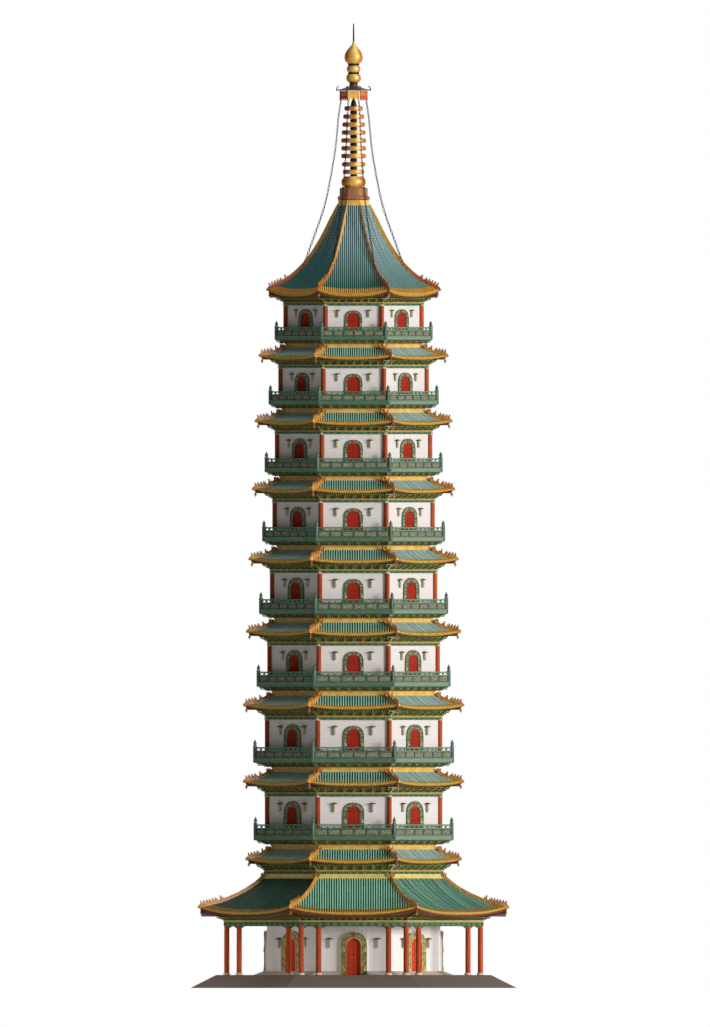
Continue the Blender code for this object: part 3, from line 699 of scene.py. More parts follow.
def painted_beam():
    """Architrave: green ground with a running pattern of paler cartouches along the face."""
    f = Finish("painted beam", Roughness=0.4)
    across = f.around()
    beat = (across / 0.30).part()
    tongue = (beat - 0.5).size().step(0.22, 0.30)
    spot = f.noise(0.05, 4.0)
    base = f.mix(tongue, (78, 120, 76), (46, 86, 56))
    base = f.mix(spot.step(0.56, 0.68) * 0.7, base, (150, 150, 92))
    f.colour(base)
    f.bump(spot, 0.003)
    return f.material


def carved_panel():
    """Railing panel: a grey-green field with a raised curl of warmer tone, by swirling bands."""
    f = Finish("carved panel", Roughness=0.5)
    wave = f.rings(3.4, 14.0, Detail=3.0, Detail_Scale=2.5)
    base = f.mix(wave.step(0.35, 0.7), (92, 118, 88), (156, 144, 120))
    base = f.mix(f.noise(0.03, 3.0).step(0.55, 0.7) * 0.5, base, (66, 96, 74))
    f.colour(base)
    f.bump(wave, 0.01)
    return f.material


def rafters():
    """Boarded soffit: green rafters every 0.09 m across the face, with brown-red boards between them."""
    f = Finish("painted rafters", Roughness=0.5)
    beat = ((f.around() / 0.09).part() - 0.5).size()
    rafter = beat.step(0.2, 0.28)
    cloud = f.noise(0.15, 4.0)
    green = f.mix(cloud.step(0.35, 0.65), (112, 128, 68), (82, 92, 46))
    brown = f.mix(cloud.step(0.35, 0.65), (152, 84, 40), (106, 62, 30))
    base = f.mix(rafter, green, brown)
    f.colour(base)
    f.bump(1.0 - rafter, 0.02)
    return f.material


SURROUND = painted_surround("painted surround", (86, 101, 75), (132, 138, 102))
# The ground storey's surround is the same paint made brighter, as painted light against the gallery's shade.
BRIGHTENED_GROUND_SURROUND = painted_surround("brightened ground surround", (112, 130, 92), (170, 172, 118))
RAFTERS = rafters()
BEAM = painted_beam()
PANEL = carved_panel()
print("paints mixed")

# %% [markdown]
# Stone and metal. The platform is dark rubble-grey stone in courses; the plinth is paler dressed stone.
# The spire is gilt, the basin under it brown bronze and the chains black iron.


# %% Stone and metal
def stone(name, first, second, course, block, joint_tone, strength=0.5, left_face_shading=1.0, right_face_shading=1.0):
    """Courses of blocks: joints where height or sideways distance is near a whole number of blocks."""
    f = Finish(name, Roughness=0.85)
    across = f.around()
    row = (f.z / course).whole()
    shift = (row * 0.37).part()
    bed = ((f.z / course).part() - 0.5).size().step(0.44, 0.49)
    head = ((across / block + shift).part() - 0.5).size().step(0.475, 0.495)
    joint = bed.most(head)
    cloud = f.noise(0.5, 6.0)
    fine = f.noise(0.03, 5.0)
    seed = f.add("ShaderNodeCombineXYZ", {}, (across / block + shift).whole(), row, 0.0)
    odd = f.chance("2D", seed)
    base = f.mix(cloud, first, second)
    base = f.mix(odd * 0.25, base, joint_tone)
    base = f.mix(fine.step(0.5, 0.8) * 0.3, base, joint_tone)
    base = f.mix(joint * strength, base, joint_tone)
    # The faces that look left and right are painted brighter or darker by a share each: painted light and
    # shade.
    f.colour(f.painted_side_light(base, left_face_shading, right_face_shading))
    f.bump(fine * 0.4 + (1.0 - joint), 0.006)
    return f.material


def metal(name, first, second, rough, metallic, left_copper_shade=None, edge_shade=None):
    """Two tones stirred by noise. Painted shade: gilt goes orange at both sides and copper red on its
    left, and an edge colour can paint both sides.
    """
    f = Finish(name, Roughness=rough, Metallic=metallic)
    cloud = f.noise(0.3, 4.0)
    fine = f.noise(0.02, 3.0)
    base = f.mix(cloud.step(0.35, 0.7), first, second)
    # An edge colour paints both sides of the round body as painted shade.
    if edge_shade:
        base = f.mix(f.x.size().step(0.08, 0.30) * 0.8, base, edge_shade)
    # Both sides are painted orange and the left copper red: painted shade of the round body.
    if left_copper_shade:
        base = f.mix(f.x.size().step(0.12, 0.46) * 0.75, base, (226, 118, 44))
        base = f.mix((-1.0 * f.x).step(0.04, 0.4) * 0.9, base, left_copper_shade)
    f.colour(base)
    f.rough(cloud * 0.25 + rough - 0.08)
    f.bump(fine, 0.0015)
    return f.material


DARK_STONE = stone("platform stone", (118, 107, 99), (113, 103, 95), 0.26, 0.8, (100, 91, 84), 0.2,
                   left_face_shading=1.35, right_face_shading=0.88)
PALE_STONE = stone("plinth stone", (238, 228, 214), (224, 214, 200), 0.3, 0.9, (172, 162, 151), 0.25)
FOOT_STONE = stone("column foot stone", (226, 216, 204), (204, 194, 182), 0.5, 0.9, (170, 161, 150), 0.1)
GILT = metal("gilt", (255, 208, 120), (250, 172, 88), 0.40, 0.5, left_copper_shade=(196, 66, 36))
GILT_PALE = metal("pale gilt", (255, 222, 132), (252, 196, 92), 0.36, 0.4, edge_shade=(232, 118, 30))
BRONZE = metal("bell bronze", (184, 132, 84), (146, 100, 60), 0.5, 0.35)


def basin_bronze():
    """Cast basin: upright panels, 24 round the turn, each of its own tone, with dark joints."""
    f = Finish("basin bronze", Roughness=0.5, Metallic=0.35)
    angle = f.add("ShaderNodeMath", {"operation": "ARCTAN2"}, f.y, f.x)
    turns = angle / (math.pi / 12) + 30.5
    tone = f.chance("1D", W=turns.whole() + 0.5)
    joint = (turns.part() - 0.5).size().step(0.38, 0.48)
    cloud = f.noise(0.2, 4.0)
    base = f.mix(tone, (206, 150, 96), (138, 94, 58))
    base = f.mix(cloud.step(0.4, 0.7) * 0.4, base, (168, 116, 72))
    base = f.mix(joint * 0.5, base, (84, 58, 40))
    f.colour(base)
    f.bump(1.0 - joint, 0.004)
    return f.material


BASIN = basin_bronze()
DARK_BRONZE = metal("canopy bronze", (112, 84, 64), (80, 60, 48), 0.5, 0.35)
IRON = metal("black iron", (42, 38, 38), (26, 24, 25), 0.55, 0.3)
BLACK = metal("black neck", (24, 20, 19), (15, 12, 12), 0.5, 0.2)
print("stones and metals ready")

# %% [markdown]
# The form of a roof
#
# All ten roofs share one rule. Down the slope, a short list of (distance, height) pairs for the middle
# of a face and another for its corner is joined by a smooth curve. Across the face, the surface goes
# from the first to the second by a power of the way to the corner, so that the eaves sweep up.


# %% The roof rule
def smooth_between(values, t):
    """Catmull-Rom curve through the rows of values, at t from 0 to 1 along the row count."""
    values = np.asarray(values, float)
    padded = np.vstack([2 * values[0] - values[1], values, 2 * values[-1] - values[-2]])
    x = np.clip(np.asarray(t, float), 0, 1) * (len(values) - 1)
    k = np.minimum(x.astype(int), len(values) - 2)
    f = (x - k)[..., None]
    p0, p1, p2, p3 = (padded[k + i] for i in range(4))
    return 0.5 * (2 * p1 + (p2 - p0) * f + (2 * p0 - 5 * p1 + 4 * p2 - p3) * f ** 2
                  + (3 * p1 - p0 - 3 * p2 + p3) * f ** 3)


def roof_point(roof, v, u):
    """Distance from the axis and height of the slope, v down the slope, u across from -1 to 1."""
    rows = smooth_between(roof["rows"], v)
    t = np.abs(u) ** SLOPE_POWER
    a = rows[..., 0] + (rows[..., 2] - rows[..., 0]) * t
    z = rows[..., 1] + (rows[..., 3] - rows[..., 1]) * t
    return a, z


BAND_IN = 4.5
CORNER_RISE = 2.5
CORNER_OUT = 1.3


def storey_roof(name, wall, eave, deck, s):
    """Numbers of a skirt roof from the wall distance, the eave's corner distance and the deck above."""
    band_a = wall - BAND_IN * STEP
    band_low = deck - 13.0 * s
    eave_top = deck - 26.0 * s
    drop = band_low - eave_top
    mid = eave - CORNER_OUT * STEP
    run = mid - band_a
    rise = CORNER_RISE * s
    return {
        "name": name, "wall": wall, "tiles": 35, "band_a": band_a,
        "band": (deck - 9.0 * s, band_low), "eave_low": (deck - 28.5 * s, rise), "mid": mid, "corner": eave,
        "bracket": (deck - 28.5 * s, deck - 34.4 * s), "board": (deck - 34.4 * s, deck - 36.2 * s),
        "beam": (deck - 36.2 * s, deck - 38.5 * s),
        "rows": [(band_a, band_low, band_a, band_low),
                 (band_a + run * 0.36, band_low - drop * 0.48, band_a + run * 0.37, band_low - drop * 0.46),
                 (band_a + run * 0.70, band_low - drop * 0.80, band_a + run * 0.71, band_low - drop * 0.66),
                 (mid, eave_top, eave, eave_top + rise)],
        "finish": LOW_ROOF, "courses": 6, "figures": 4, "fringe": 2.3 * STEP,
    }


ground = {"n": 1, "wall": GROUND_WALL, "eave": float(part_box("storey_1_roof")[1][0]), "s": STEP}
roofs = []
for storey, above in zip([ground] + storeys, storeys):
    name = "storey_%d" % storey["n"]
    roofs.append(storey_roof(name, storey["wall"], storey["eave"], above["deck"], storey["s"]))


def read_roof(name, wall, rows, levels, rise, **rest):
    """Numbers of a roof read off the elevation: its slope in rows, and its levels from the band down."""
    band_top, band_low, low, bracket, board, beam, foot = (level(y) for y in levels)
    return {
        "name": name, "wall": wall, "band_a": rows[0][0] * STEP, "band": (band_top, band_low),
        "eave_low": (low, rise), "mid": rows[-1][0] * STEP, "corner": rows[-1][2] * STEP,
        "bracket": (bracket, board), "board": (board, beam), "beam": (beam, foot),
        "rows": [(a * STEP, level(y), b * STEP, level(w)) for a, y, b, w in rows], **rest,
    }


roofs.append(read_roof(
    "great", 127.0 * STEP,
    [(89.8, 877.5, 89.8, 877.5), (99.0, 885.5, 99.0, 885.2), (112.5, 894.5, 112.8, 893.6),
     (131.0, 904.5, 131.5, 901.6), (152.0, 913.0, 153.2, 907.0)],
    (873.9, 877.5, 916.6, 916.8, 920.2, 922.4, 926.0),
    rise=6.0 * STEP, tiles=52, finish=GREAT_ROOF, courses=12, figures=6, fringe=2.1 * STEP))
roofs.append(read_roof(
    "top", storeys[-1]["wall"],
    [(14.9, 204.5, 14.9, 204.5), (22.5, 222.5, 22.5, 222.5), (34.0, 244.5, 34.0, 244.5),
     (48.0, 264.5, 48.0, 264.3), (65.0, 281.0, 65.0, 279.6), (83.4, 293.5, 84.8, 289.4)],
    (200.2, 204.5, 297.8, 297.8, 302.0, 303.4, 305.5),
    rise=4.4 * STEP, tiles=35, finish=TOP_ROOF, courses=18, figures=5, fringe=3.3 * STEP))
print("roofs", len(roofs))

# %% [markdown]
# Tile rows
#
# A Chinese barrel-tile roof is a field of half-round cover tiles over shallow troughs. The rows run
# straight down each face, parallel to its middle line, and the hips cut them off. So a column of the
# grid stands at a fixed sideways distance, starts where that distance meets the hip line and ends at
# the eave; a half-round profile lifts it off the slope.


# %% Tile sheets
def tile_sheet(roof):
    """One face as a grid: x across, v from the hip line down to the eave.

    A row of tiles is six points wide: flat in the trough, then a hump that stands off the slope.
    """
    rows = roof["tiles"]
    reach = roof["corner"] * TAN
    pitch = 2 * reach / rows
    inside = np.array([0.0, 0.22, 0.30, 0.5, 0.70, 0.78])
    lifts = np.array([0.0, 0.0, 0.72, 1.0, 0.72, 0.0]) * pitch * 0.09
    place = (np.arange(rows)[:, None] + inside[None]).reshape(-1)
    lift = np.tile(lifts, rows)
    place = np.append(place, rows)
    lift = np.append(lift, 0.0)
    x = np.clip(-reach + place * pitch, -reach * 0.9995, reach * 0.9995)
    v_table = np.linspace(0, 1, 80)
    hip_half = smooth_between(roof["rows"], v_table)[:, 2] * TAN
    start = np.interp(np.abs(x), hip_half, v_table)
    share = np.linspace(0, 1, roof["courses"] + 1)
    v = start[:, None] + (1 - start[:, None]) * share[None]
    half = np.interp(v, v_table, hip_half)
    u = np.clip(np.abs(x)[:, None] / half, 0, 1)
    a, z = roof_point(roof, v, u)
    slope_a = np.gradient(a, axis=1) + 1e-9
    slope_z = np.gradient(z, axis=1)
    length = np.hypot(slope_a, slope_z)
    a = a - slope_z / length * lift[:, None]
    z = z + slope_a / length * lift[:, None]
    left = np.cumsum(np.hypot(np.diff(a, axis=1), np.diff(z, axis=1))[:, ::-1], axis=1)[:, ::-1]
    left = np.concatenate([left, np.zeros((len(x), 1))], axis=1)
    points = np.stack([np.broadcast_to(x[:, None], a.shape), -a, z], axis=-1)
    uv = np.stack([np.broadcast_to(place[:, None], a.shape), left], axis=-1)
    return grid(points), uv.reshape(-1, 2)


for roof in roofs:
    sheet, uv = tile_sheet(roof)
    piece("tiles_" + roof["name"], eight(sheet), roof["finish"], uv=np.tile(uv, (8, 1)), smooth=50)

# %% [markdown]
# Under the tiles
#
# What carries the tiles is a solid ring: a boarded soffit that slopes back to the brackets, dark with
# shade and smoke, closed at its outer edge by a thin red board. Each is a closed profile, given once
# for the middle of a face and once for its corner; the two are mixed by the same power as the slope.


# %% Soffits and eave boards
def eave_ring(rows):
    """Profile rows (middle distance, middle height, corner distance, corner height) carried all round."""
    across = np.array([-1, -0.9, -0.75, -0.5, -0.25, 0.0, 0.25, 0.5, 0.75, 0.9])
    rows = np.array(rows)
    t = (np.abs(across) ** SLOPE_POWER)[:, None]
    a = rows[None, :, 0] * (1 - t) + rows[None, :, 2] * t
    z = rows[None, :, 1] * (1 - t) + rows[None, :, 3] * t
    one = np.stack([across[:, None] * a * TAN, -a, z], axis=-1)
    ring = np.einsum("fij,umj->fumi", FACES[:, :3, :3], one).reshape(-1, len(rows), 3)
    return outward(grid(ring, wrap_rows=True, wrap_columns=True))


def soffit_rows(roof, inner):
    low, rise = roof["eave_low"]
    wall = roof["wall"]
    under = 0.045
    foot = roof["bracket"][1]
    rows = [(r[0], r[1] - under, r[2], r[3] - under) for r in roof["rows"]]
    top = rows[0][1]
    rows += [(roof["mid"], low, roof["corner"], low + rise + 0.8 * STEP)]
    rows += [(roof["mid"] - 2.0 * STEP, low, roof["corner"] - 2.4 * STEP, low + 0.75 * rise + 0.6 * STEP)]
    rows += [(wall + 8.5 * STEP, low, wall + 9.0 * STEP, low + 0.25 * rise)]
    rows += [(wall + 1.2 * STEP, foot, wall + 1.2 * STEP, foot)]
    rows += [(inner, foot, inner, foot), (inner, top, inner, top)]
    return rows


def board_rows(roof):
    """A board half a step thick, from just under the tiles to a little below the soffit's edge."""
    low, rise = roof["eave_low"]
    edge = roof["rows"][-1]
    near, far = roof["mid"], roof["corner"]
    out, back, drop = 0.1 * STEP, 0.5 * STEP, 0.15 * STEP
    return [(near + out, edge[1] - 0.4 * STEP, far + out, edge[3] - 0.4 * STEP),
            (near + out, low - drop, far + out, low + rise - drop + 0.8 * STEP),
            (near - back, low - drop, far - back, low + rise - drop + 0.8 * STEP),
            (near - back, edge[1] - 0.4 * STEP, far - back, edge[3] - 0.4 * STEP)]


soffits = []
for roof in roofs:
    inner = {"great": GROUND_WALL + 0.001, "top": 13.0 * STEP}.get(roof["name"], roof["wall"] - 0.3)
    soffits.append(eave_ring(soffit_rows(roof, inner)))
piece("soffits", joined(soffits), RAFTERS, smooth=35)
piece("eave_boards", joined([eave_ring(board_rows(roof)) for roof in roofs]), EAVE_RED)

# %% [markdown]
# The edge of the eave
#
# At the eave every cover tile ends in a round cap, and between two caps hangs a pointed drip tile that
# throws the rain clear. Seen from the front they make a yellow fringe. One cap and one drip are enough:
# each is stamped once for every row.


# %% Round tile ends and drip tiles
def facing_drum(radius, depth):
    """A short six-sided drum whose axis looks out of the face, along -Y."""
    angles = np.arange(6) * math.pi / 3
    return slab(np.stack([np.cos(angles), np.sin(angles)], axis=-1) * radius, 0.0, -depth)


caps = []
drips = []
for roof in roofs:
    rows = roof["tiles"]
    reach = roof["corner"] * TAN
    pitch = 2 * reach / rows
    x = -reach + (np.arange(rows) + 0.5) * pitch
    x = x[np.abs(x) < reach * 0.985]
    a, z = roof_point(roof, np.ones(len(x)), np.abs(x) / reach)
    spots = [move(*p) for p in zip(x, -a + 0.01, z + 0.2 * STEP)]
    caps.append(eight(stamped(facing_drum(pitch * 0.38, 0.024), spots)))
    x = -reach + np.arange(1, rows) * pitch
    a, z = roof_point(roof, np.ones(len(x)), np.abs(x) / reach)
    half = pitch * 0.40
    low = -roof["fringe"]
    shoulder = low + 0.8 * STEP
    root = 0.3 * STEP
    drip = slab([(-half, root), (-half, shoulder), (0, low), (half, shoulder), (half, root)],
                -0.35 * STEP, 0.1 * STEP)
    shrink = 1 - 0.6 * (np.abs(x) / reach) ** 3
    spots = [move(*p) @ scale(1, 1, k) for *p, k in zip(x, -a - 0.002, z, shrink)]
    drips.append(eight(stamped(drip, spots)))
piece("tile_ends", joined(caps), TILE_END)
piece("drip_tiles", joined(drips), TILE_END)

# %% [markdown]
# Hips, ridge bands and their guardians
#
# Where two faces meet, a thick glazed ridge covers the joint. It runs down the corner and turns up at
# its tip. A row of small seated guardians rides on the lower end, a larger one behind them, and a
# three-pronged crest stands where the hip leaves the band under the balcony.


# %% Hip ridges
HIP_POINTS = 18
HIP_TIP = 2.8 * STEP


def hip_path(roof):
    """The corner line of the roof, with a tip that runs on and curls up by a square law."""
    rows = smooth_between(roof["rows"], np.linspace(0, 1, HIP_POINTS))
    r = rows[:, 2] / COS
    z = rows[:, 3]
    slope = (z[-1] - z[-2]) / (r[-1] - r[-2])
    out = np.linspace(0.2, 1.0, 4) * HIP_TIP
    r = np.append(r, r[-1] + out)
    z = np.append(z, z[-1] + slope * out + 0.15 * out ** 2 / HIP_TIP)
    return np.stack([np.zeros_like(r), -r, z], axis=-1)


def way_along(path):
    """Metres from the start of a path to each of its points."""
    return np.append(0, np.cumsum(np.linalg.norm(np.diff(path, axis=0), axis=1)))


def normals_up(path):
    """Unit vectors square to the path in the upright plane it lies in."""
    along = np.gradient(path, axis=0)
    along /= np.linalg.norm(along, axis=1)[:, None]
    up = np.stack([np.zeros(len(path)), along[:, 2], -along[:, 1]], axis=-1)
    return up * np.where(up[:, 2:3] < 0, -1, 1)


# Section of a hip: a broad foot, a narrow web and a rounded back.
HIP_HALF = [(1.0, -0.6), (1.0, 0.35), (0.55, 0.5), (0.55, 0.8), (0.25, 1.0)]
HIP_SECTION = np.array([(-x, y) for x, y in HIP_HALF] + HIP_HALF[::-1])

hips = []
for roof in roofs:
    path = hip_path(roof)
    size = np.append(np.ones(HIP_POINTS), [0.92, 0.78, 0.6, 0.35])
    wide, roof["hip_tall"] = 1.6 * STEP, 2.9 * STEP
    if roof["name"] == "top":
        wide, roof["hip_tall"] = 0.75 * STEP, 3.4 * STEP
        size = size * np.interp(np.arange(len(path)), [0, 3, 13, 21], [0.5, 1.0, 1.0, 0.6])
    outline = HIP_SECTION * (wide, roof["hip_tall"])
    hips.append(cornered(swept(path, RIGHT, normals_up(path), outline, size)))
piece("hip_ridges", joined(hips[:-1]), ORANGE, smooth=40)
piece("top_hip_ridges", hips[-1], TOP_HIP, smooth=40)


# %% Ridge bands with three mouldings
def octagon_ring(profile):
    """A closed profile of (distance to the face's middle, height) carried round the eight corners."""
    angles = np.arange(8) * math.pi / 4 - math.pi / 2 + math.pi / 8
    corners = np.stack([np.cos(angles), np.sin(angles), np.zeros(8)], axis=-1) / COS
    return swept(np.zeros((8, 3)), corners, UP, profile, closed=True)


def ring_at(a, base, unit, rows):
    """An octagon ring whose profile is in steps out from a and in the given unit up from a base."""
    return octagon_ring([(a + out * STEP, base + up * unit) for out, up in rows])


BAND_ROWS = [(-3.0, 1.0), (0.9, 1.0), (0.9, 0.75), (0.2, 0.7), (0.2, 0.35), (1.1, 0.3), (1.3, -0.25),
             (-3.0, -0.25)]
bands = {True: [], False: []}
for roof in roofs:
    high, low = roof["band"]
    bands[roof["name"] == "great"].append(ring_at(roof["band_a"], low, high - low, BAND_ROWS))
piece("ridge_bands", joined(bands[False]), YELLOW, smooth=25)
piece("great_ridge_band", joined(bands[True]), PALE_YELLOW, smooth=25)


# %% Guardians and crests
def guardian():
    """A seated beast about one unit tall: turned haunches, a chest that leans out, a head and a tail."""
    body = lathe([(0, 0), (0.34, 0.0), (0.36, 0.22), (0.24, 0.5), (0, 0.62)], 6)
    chest = lathe([(0, 0), (0.2, 0.05), (0.22, 0.4), (0.14, 0.68), (0, 0.72)], 6)
    head = lathe([(0, 0.58), (0.2, 0.68), (0.22, 0.84), (0.1, 1.0), (0, 1.02)], 6)
    snout = box(-0.09, 0.09, -0.52, -0.3, 0.66, 0.8)
    tail = swept([[0, 0.22, 0.1], [0, 0.44, 0.45], [0, 0.36, 0.85]], RIGHT,
                 [[0, 0.8, -0.6], [0, 1.0, 0], [0, 0.8, 0.6]],
                 [(-0.08, 0), (0, 0.1), (0.08, 0), (0, -0.1)], [1.0, 1.2, 0.5])
    chest = stamped(chest, move(0, -0.17, 0))
    return joined([body, chest, stamped(head, move(0, -0.2, 0)), snout, tail])


def on_hip(roof, from_tip):
    """A place on top of the hip ridge, a given distance back from the eave corner, in metres."""
    path = hip_path(roof)[:HIP_POINTS]
    run = way_along(path)
    spot = [np.interp(run[-1] - from_tip, run, path[:, k]) for k in range(3)]
    spot[2] += roof["hip_tall"] * 0.91
    return move(*spot)


def prong(x):
    """One of a crest's three prongs, which lean apart and end in a point."""
    return slab([(x - 0.13, 0.2), (x + 0.13, 0.2), (x * 1.25 + 0.16, 0.6),
                 (x * 1.35, 1.0 - abs(x) * 0.3), (x * 1.25 - 0.16, 0.6)], -0.1, 0.1)


small = []
large = []
crests = []
cup = slab([(-0.5, 0), (0.5, 0), (0.62, 0.28), (0, 0.42), (-0.62, 0.28)], -0.14, 0.14)
crest = joined([cup] + [prong(x) for x in (-0.48, 0.0, 0.48)])
tall = 3.5 * STEP
for roof in roofs:
    spots = [on_hip(roof, (1.2 + 3.3 * k) * STEP) for k in range(roof["figures"])]
    small.append(cornered(guardian(), *[m @ scale(tall * 0.5, tall, tall) for m in spots]))
    behind = (roof["figures"] * 3.3 + 3.4) * STEP
    large.append(cornered(guardian(), on_hip(roof, behind) @ scale(tall * 0.5, tall * 1.15, tall * 1.15)))
    path = hip_path(roof)
    if roof["name"] != "top":
        r = (roof["wall"] - 0.5 * STEP) / COS if roof["name"] != "great" else -path[0][1] + 1.0 * STEP
        z = np.interp(r, -path[:, 1], path[:, 2]) + 0.8 * STEP
        crests.append(cornered(crest, move(0, -r, z) @ scale(6.0 * STEP, 4.2 * STEP, 5.4 * STEP)))
piece("small_guardians", joined(small), BEAST, smooth=60)
piece("large_guardians", joined(large), BEAST, smooth=60)
piece("hip_crests", joined(crests), CREST)

# %% [markdown]
# Bracket clusters
#
# Under each eave stand clusters of interlocking arms. A capital block carries a cross arm, the next
# arm reaches further out, and small blocks sit on every arm end, so that the cluster steps out like an
# upturned staircase. At this scale each cluster is fifteen blocks, stamped around the tower.


# %% Bracket clusters
def bracket_cluster():
    """Fifteen blocks in a unit frame: x across, -y outwards from 0 to -1, z upwards from 0 to 1."""
    return joined([
        box(-0.16, 0.16, -0.28, 0.1, 0.0, 0.17),
        box(-0.42, 0.42, -0.2, -0.04, 0.19, 0.32), box(-0.45, -0.25, -0.24, 0.0, 0.32, 0.41),
        box(0.25, 0.45, -0.24, 0.0, 0.32, 0.41),
        box(-0.08, 0.08, -0.56, 0.1, 0.2, 0.34), box(-0.13, 0.13, -0.6, -0.36, 0.34, 0.44),
        box(-0.58, 0.58, -0.53, -0.38, 0.46, 0.58), box(-0.6, -0.4, -0.57, -0.34, 0.58, 0.67),
        box(0.4, 0.6, -0.57, -0.34, 0.58, 0.67),
        box(-0.08, 0.08, -0.92, 0.0, 0.48, 0.62), box(-0.13, 0.13, -0.94, -0.7, 0.62, 0.72),
        box(-0.72, 0.72, -0.88, -0.72, 0.74, 0.87), box(-0.73, -0.52, -0.92, -0.68, 0.87, 0.98),
        box(-0.11, 0.11, -0.92, -0.68, 0.87, 0.98), box(0.52, 0.73, -0.92, -0.68, 0.87, 0.98)])


def cluster_spots(a_low, half, count, tall, deep, z):
    """Places across one face for count clusters, evenly spread."""
    x = (np.arange(count) - (count - 1) / 2) * 2 * half / count
    return [spot @ scale(tall * 1.15, deep, tall) for spot in in_row(x, -a_low, z)]


clusters = []
corner_arms = []
for roof in roofs:
    high, low = roof["bracket"]
    a = roof["wall"] + 1.6 * STEP
    wide = a * TAN
    count, share = (15, 0.97) if roof["name"] == "great" else (7, 0.92)
    tall = high - low
    deep = 7.6 * STEP
    spots = cluster_spots(a, wide * share, count, tall, deep, low)
    clusters.append(eight(stamped(bracket_cluster(), spots)))
    spot = move(0, -a / COS, low) @ scale(tall * 1.1, deep * 1.2, tall)
    corner_arms.append(cornered(bracket_cluster(), spot))
piece("bracket_clusters", joined(clusters), BRACKET_GREEN)
piece("corner_brackets", joined(corner_arms), BRACKET_GREEN)


# %% Boards and painted beams under the brackets
BOARD_ROWS = [(-3.6, 0), (0.1, 0), (0.1, 0.65), (0.9, 0.7), (0.9, 1.0), (-3.6, 1.0)]
LINE_ROWS = [(-1.0, -0.2), (0.7, -0.2), (0.7, 0.35), (-1.0, 0.35)]
NOSE = [(0.5 * math.cos(v), (1 + math.sin(v)) / 2) for v in np.linspace(-math.pi / 2, math.pi / 2, 5)]
BEAM_ROWS = [(-3.6, 0)] + NOSE + [(-3.6, 1.0)]
boards = []
beams = []
lines = []
for roof in roofs:
    a = roof["wall"] + 2.6 * STEP
    high, low = roof["board"]
    boards.append(ring_at(a, low, high - low, BOARD_ROWS))
    lines.append(ring_at(a, low, STEP, LINE_ROWS))
    high, low = roof["beam"]
    beams.append(ring_at(a, low, high - low, BEAM_ROWS))
piece("ochre_boards", joined(boards), OCHRE)
piece("beam_lines", joined(lines), RAIL_GREEN)
piece("painted_beams", joined(beams), BEAM, smooth=40)

# %% [markdown]
# Balconies
#
# Each upper storey has a walk all round. Its edge is a green fascia between two mouldings, carried on
# small brackets. The railing has a lower rail, carved panels between dividers, a middle rail, a row of
# little arches and a top rail, and at each corner a post that ends in a lotus bud.


# %% Balcony edges
fascias = []
edges = []
carriers = []
carrier = joined([box(-0.13, 0.13, -0.2, 0.1, 0.0, 0.22), box(-0.34, 0.34, -0.3, -0.1, 0.26, 0.42),
                  box(-0.1, 0.1, -0.72, 0.1, 0.28, 0.5), box(-0.52, 0.52, -0.72, -0.5, 0.56, 0.74),
                  box(-0.55, -0.35, -0.78, -0.44, 0.76, 0.96), box(0.35, 0.55, -0.78, -0.44, 0.76, 0.96),
                  box(-0.1, 0.1, -0.78, -0.44, 0.76, 0.96)])
for index, storey in enumerate(storeys):
    deck, a = storey["deck"], storey["deck_edge"]
    s = storeys[index - 1]["s"] if index else STEP
    below = storeys[index - 1]["wall"] if index else GROUND_WALL
    fascias.append(ring_at(a, deck, s, [(-1.5, -0.9), (0.15, -0.9), (0.15, -3.6), (-1.5, -3.6)]))
    for top, foot, out in ((0.4, -0.9, 0.75), (-3.5, -4.6, 0.6)):
        edges.append(ring_at(a, deck, s, [(-1.5, top), (0.3, top), (out, top - 0.35), (out, foot + 0.35),
                                          (0.2, foot), (-1.5, foot)]))
    low, high = deck - 8.9 * s, deck - 4.9 * s
    inner = below + 1.2 * STEP
    spots = cluster_spots(inner, inner * TAN * 0.86, 6, high - low, a - inner - 2.2 * STEP, low)
    carriers.append(eight(stamped(carrier, spots)))
    spot = move(0, -inner / COS, low) @ scale(high - low, a - inner, high - low)
    carriers.append(cornered(carrier, spot))
piece("balcony_fascias", joined(fascias), FASCIA_GREEN)
piece("balcony_mouldings", joined(edges), RAIL_GREEN, smooth=30)
piece("balcony_brackets", joined(carriers), BRACKET_GREEN)


# %% Railings
def small_arch(half, foot, spring, deep):
    """Half a ring standing on its ends: a bar of square section carried round a half circle."""
    t = np.linspace(0, math.pi, 5)
    path = np.stack([half * np.cos(t), np.zeros(5), foot + spring * np.sin(t)], axis=-1)
    side = np.stack([np.cos(t), np.zeros(5), np.sin(t)], axis=-1)
    return swept(path, side, BACK, bar_section(0.3 * STEP, -deep, deep))


def rail_ring(a, deck, low, high, thick, s):
    """A rail with a rounded back, carried round the eight sides; heights in storey steps above the deck."""
    shoulder = high - 0.3
    return ring_at(a, deck, s, [(-thick, low), (thick, low), (thick, shoulder), (0.6 * thick, high),
                                (-0.6 * thick, high), (-thick, shoulder)])


